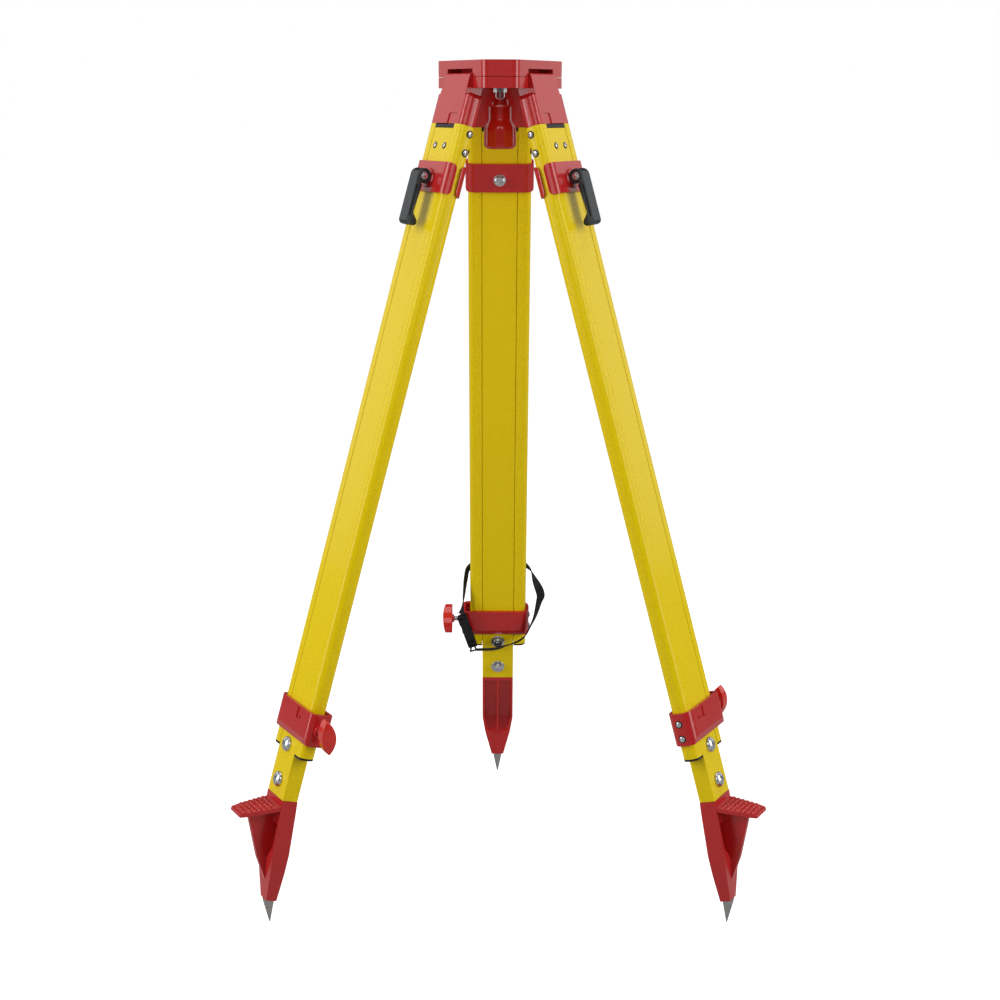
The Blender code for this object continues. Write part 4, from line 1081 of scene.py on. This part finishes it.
# The loop from the buckle's lower end to its upper end: across the leg's inner face, up the right
# side, behind the outer face and down the left side. Each row is a point and the strap's outward
# direction there.
STRAP_ROUTE = [
    ((-0.0255, 0.0330, -0.8792), (-0.75, 0.00, -0.65)),
    ((-0.0252, 0.0066, -0.8782), (-0.75, 0.00, -0.65)),
    ((-0.0250, -0.0100, -0.8728), (-0.65, -0.25, -0.70)),
    ((-0.0240, -0.0290, -0.8655), (-0.40, -0.35, -0.85)),
    ((-0.0230, -0.0385, -0.8592), (-0.35, -0.60, -0.70)),
    ((-0.0220, -0.0435, -0.8530), (-0.35, -0.85, -0.40)),
    ((-0.0200, -0.0495, -0.8400), (-0.35, -0.90, -0.30)),
    ((-0.0150, -0.0568, -0.8245), (-0.50, -0.85, -0.20)),
    ((-0.0080, -0.0626, -0.8035), (-0.75, -0.65, 0.00)),
    ((-0.0030, -0.0652, -0.7905), (-1.00, -0.20, 0.00)),
    ((0.0030, -0.0565, -0.7700), (-0.50, -0.85, 0.20)),
    ((0.0110, -0.0470, -0.7525), (0.45, -0.90, 0.20)),
    ((0.0172, -0.0270, -0.7448), (1.00, -0.20, 0.00)),
    ((0.0168, 0.0000, -0.7430), (1.00, 0.00, 0.00)),
    ((0.0172, 0.0270, -0.7452), (1.00, 0.20, 0.00)),
    ((0.0110, 0.0450, -0.7530), (0.60, 0.80, 0.00)),
    ((0.0010, 0.0490, -0.7635), (0.50, 0.85, 0.00)),
    ((-0.0060, 0.0507, -0.7745), (0.35, 0.93, 0.00)),
    ((-0.0140, 0.0525, -0.7905), (0.15, 1.00, 0.00)),
    ((-0.0205, 0.0542, -0.8060), (-0.30, 0.95, 0.00)),
    ((-0.0240, 0.0553, -0.8140), (-0.80, 0.50, 0.00)),
]


def smooth_line(points, per_span):
    """Catmull-Rom points along an open line."""
    ends = [2 * points[0] - points[1]] + points + [2 * points[-1] - points[-2]]
    result = []
    for a, b, c, d in zip(ends, ends[1:], ends[2:], ends[3:]):
        for step in range(per_span):
            t = step / per_span
            result.append(0.5 * (2 * b + (c - a) * t + (2 * a - 5 * b + 4 * c - d) * t ** 2
                                 + (3 * b - a - 3 * c + d) * t ** 3))
    return result + [points[-1]]


def ribbon(route, per_span):
    """Webbing lofted along the route with softly rounded edges."""
    centres = smooth_line([Vector(point) for point, _ in route], per_span)
    facings = smooth_line([Vector(facing) for _, facing in route], per_span)
    edge = STRAP_THICKNESS / 2
    flat = STRAP_WIDTH / 2 - edge
    section = arc((flat, 0.0), edge, -90, 90, 6) + arc((-flat, 0.0), edge, 90, 270, 6)
    rings = []
    length = 0.0
    for index, (centre, facing) in enumerate(zip(centres, facings)):
        along = centres[min(index + 1, len(centres) - 1)] - centres[max(index - 1, 0)]
        across = along.cross(facing).normalized()
        normal = across.cross(along).normalized()
        rings.append([centre + across * x + normal * y for x, y in section])
        if index:
            length += (centre - centres[index - 1]).length
    return lofted(rings, uv_step=length / (len(centres) - 1))


def buckle_space():
    """The matrix from the buckle's own space (+Z along it, +X out of its face) to leg space."""
    low, high = BUCKLE_ENDS
    up = (high - low).normalized()
    side = up.cross(Vector((1, 0, 0))).normalized()
    return space_of(side.cross(up), side, up, low)


def buckle_slot(half_height, z):
    """Cutter for a slot across the buckle, which the webbing passes through."""
    return through(rounded(BUCKLE_HALF - 0.0022, half_height, 0.0010, (0.0, z), 3), "yz")


def buckle_housing(split, length):
    """Waisted upper half of the buckle, with side windows and a slot for the webbing."""
    half_depth = 0.0038
    outline = rounded(BUCKLE_HALF, (length - split) / 2, 0.0025, (0.0, (length + split) / 2), 4)
    housing = cut(prism([outline], -half_depth, half_depth, "yz"), buckle_slot(0.0020, length - 0.0045))
    window_half, window_z = 0.0050, split + 0.0110
    for side in (-1, 1):
        window = rounded(0.0022, window_half, 0.0010, (side * BUCKLE_HALF, window_z), 3)
        housing = cut(housing, through(window, "yz"))
    return housing


def buckle_prongs(split):
    """Pronged lower half of the buckle: a slider with two slots and two fingers in the windows."""
    half_depth, finger_depth, side_gap, split_gap = 0.0030, 0.0016, 0.0004, 0.0003
    outline = rounded(BUCKLE_HALF - side_gap, split / 2 - split_gap, 0.0020, (0.0, split / 2), 4)
    slider = prism([outline], -half_depth, half_depth, "yz")
    slider = cut(slider, buckle_slot(0.0018, 0.0040), buckle_slot(0.0014, 0.0110))
    pieces = [slider]
    for side in (-1, 1):
        finger = rounded(0.0012, 0.0085, 0.0010, (side * (BUCKLE_HALF - 0.0016), split + 0.0070), 3)
        pieces.append(prism([finger], -finger_depth, finger_depth, "yz"))
    return grouped(pieces)


def buckle_link():
    """Wire loop that links the strap's end to the buckle's lower end."""
    wire, steps = 0.0013, 12
    ball = [(wire * math.cos(angle), wire * math.sin(angle)) for angle in (-1.5708, -0.8, 0.0, 0.8, 1.5708)]
    bars = []
    for start, end in zip(LINK_CORNERS, LINK_CORNERS[1:] + LINK_CORNERS[:1]):
        bar = rod(wire, 0.0, (end - start).length, "z", steps=steps)
        bars.append(aimed(bar, start, end - start))
        bars.append(turned(ball, origin=start, steps=steps))
    return grouped(bars)


def build_strap():
    """Adds the strap, its link and the two halves of the buckle."""
    space = LEG_SPACE["rear"]
    body = "rear_upper_leg"
    length = (BUCKLE_ENDS[1] - BUCKLE_ENDS[0]).length
    split = length * 0.46
    add_piece("strap_look", ribbon(STRAP_ROUTE, 8), space, body, "webbing", ("strap",))
    add_piece("strap_link", buckle_link(), space, body, "black_plastic")
    buckle = space @ buckle_space()
    add_piece("strap_buckle_look", buckle_housing(split, length), buckle, body, "black_plastic",
              ("strap_buckle",), 0.0007)
    add_piece("strap_buckle_prongs", buckle_prongs(split), buckle, body, "black_plastic", (), 0.0005)


# ---- camera, floor and light ----
LIGHT_TARGET = (0.0, 0.0, 0.6)


def add_camera():
    """Camera at the photograph's viewing angle: lengths in metres, angles in radians."""
    distance, height = 2.2313, 1.0531
    pitch, turn, roll = 0.2300, 0.0039, 0.0029
    axis = HEAD.translation
    data = bpy.data.cameras.new("camera")
    data.lens = 61.24
    data.sensor_width = 36.0
    data.shift_x = 0.0010
    camera = bpy.data.objects.new("camera", data)
    bpy.context.scene.collection.objects.link(camera)
    place = Matrix.Rotation(-turn, 4, "Z") @ Matrix.Translation((0.0, -distance, height))
    aim = Matrix.Rotation(math.pi / 2 - pitch, 4, "X") @ Matrix.Rotation(roll, 4, "Z")
    camera.matrix_world = Matrix.Translation((axis.x, axis.y, 0.0)) @ place @ aim
    bpy.context.scene.camera = camera


def seen_and_lit(tree, target, seen, lit):
    """Feeds a strength: one value as the camera sees it, another as a source of light."""
    camera_ray = tree.nodes.new("ShaderNodeLightPath").outputs["Is Camera Ray"]
    tree.links.new(remapped(tree, camera_ray, lit, seen), target)


def add_floor():
    """Pale studio floor, just under the points, that looks as bright as the surroundings."""
    size, drop = 60.0, 0.0005
    bpy.ops.mesh.primitive_plane_add(size=size, location=(0.0, 0.0, -drop))
    floor = bpy.context.object
    floor.name = "floor"
    material = new_material("floor_white", (0.38, 0.38, 0.38), 0.9)
    shader = material.node_tree.nodes["Principled BSDF"]
    shader.inputs["Emission Color"].default_value = (1.0, 1.0, 1.0, 1.0)
    seen_and_lit(material.node_tree, shader.inputs["Emission Strength"], 0.98, 0.05)
    floor.data.materials.append(material)


def add_light(name, energy, size, location):
    """Soft area light, energy in watts, aimed at the middle of the object."""
    data = bpy.data.lights.new(name, "AREA")
    data.energy = energy
    data.shape = "RECTANGLE"
    data.size, data.size_y = size
    light = bpy.data.objects.new(name, data)
    bpy.context.scene.collection.objects.link(light)
    light.location = location
    direction = Vector(LIGHT_TARGET) - Vector(location)
    light.rotation_euler = direction.to_track_quat("-Z", "Y").to_euler()


def add_world():
    """White surroundings: full white behind the object, dimmer as a source of light."""
    world = bpy.data.worlds.new("studio")
    world.use_nodes = True
    background = world.node_tree.nodes["Background"]
    seen_and_lit(world.node_tree, background.inputs["Strength"], 1.0, 0.12)
    background.inputs["Color"].default_value = (1.0, 1.0, 1.0, 1.0)
    bpy.context.scene.world = world


def add_lights():
    """Soft boxes in front, above and behind: name, energy, size and place."""
    side_box, back_box = (1.1, 2.4), (1.6, 2.6)
    add_light("left", 42.0, side_box, (-2.4, -1.0, 1.5))
    add_light("right", 38.0, side_box, (2.4, -1.0, 1.5))
    add_light("front", 30.0, (2.6, 1.8), (0.0, -3.6, 2.4))
    add_light("top", 24.0, (2.0, 2.0), (0.0, 0.2, 3.0))
    add_light("back_left", 12.0, back_box, (-2.6, 1.8, 1.7))
    add_light("back_right", 12.0, back_box, (2.6, 1.8, 1.7))


dress_nodes()
add_camera()
for leg_name in LEGS:
    build_leg(leg_name)
build_head()
build_strap()
add_floor()
add_world()
add_lights()
bpy.context.scene.view_settings.view_transform = "Standard"
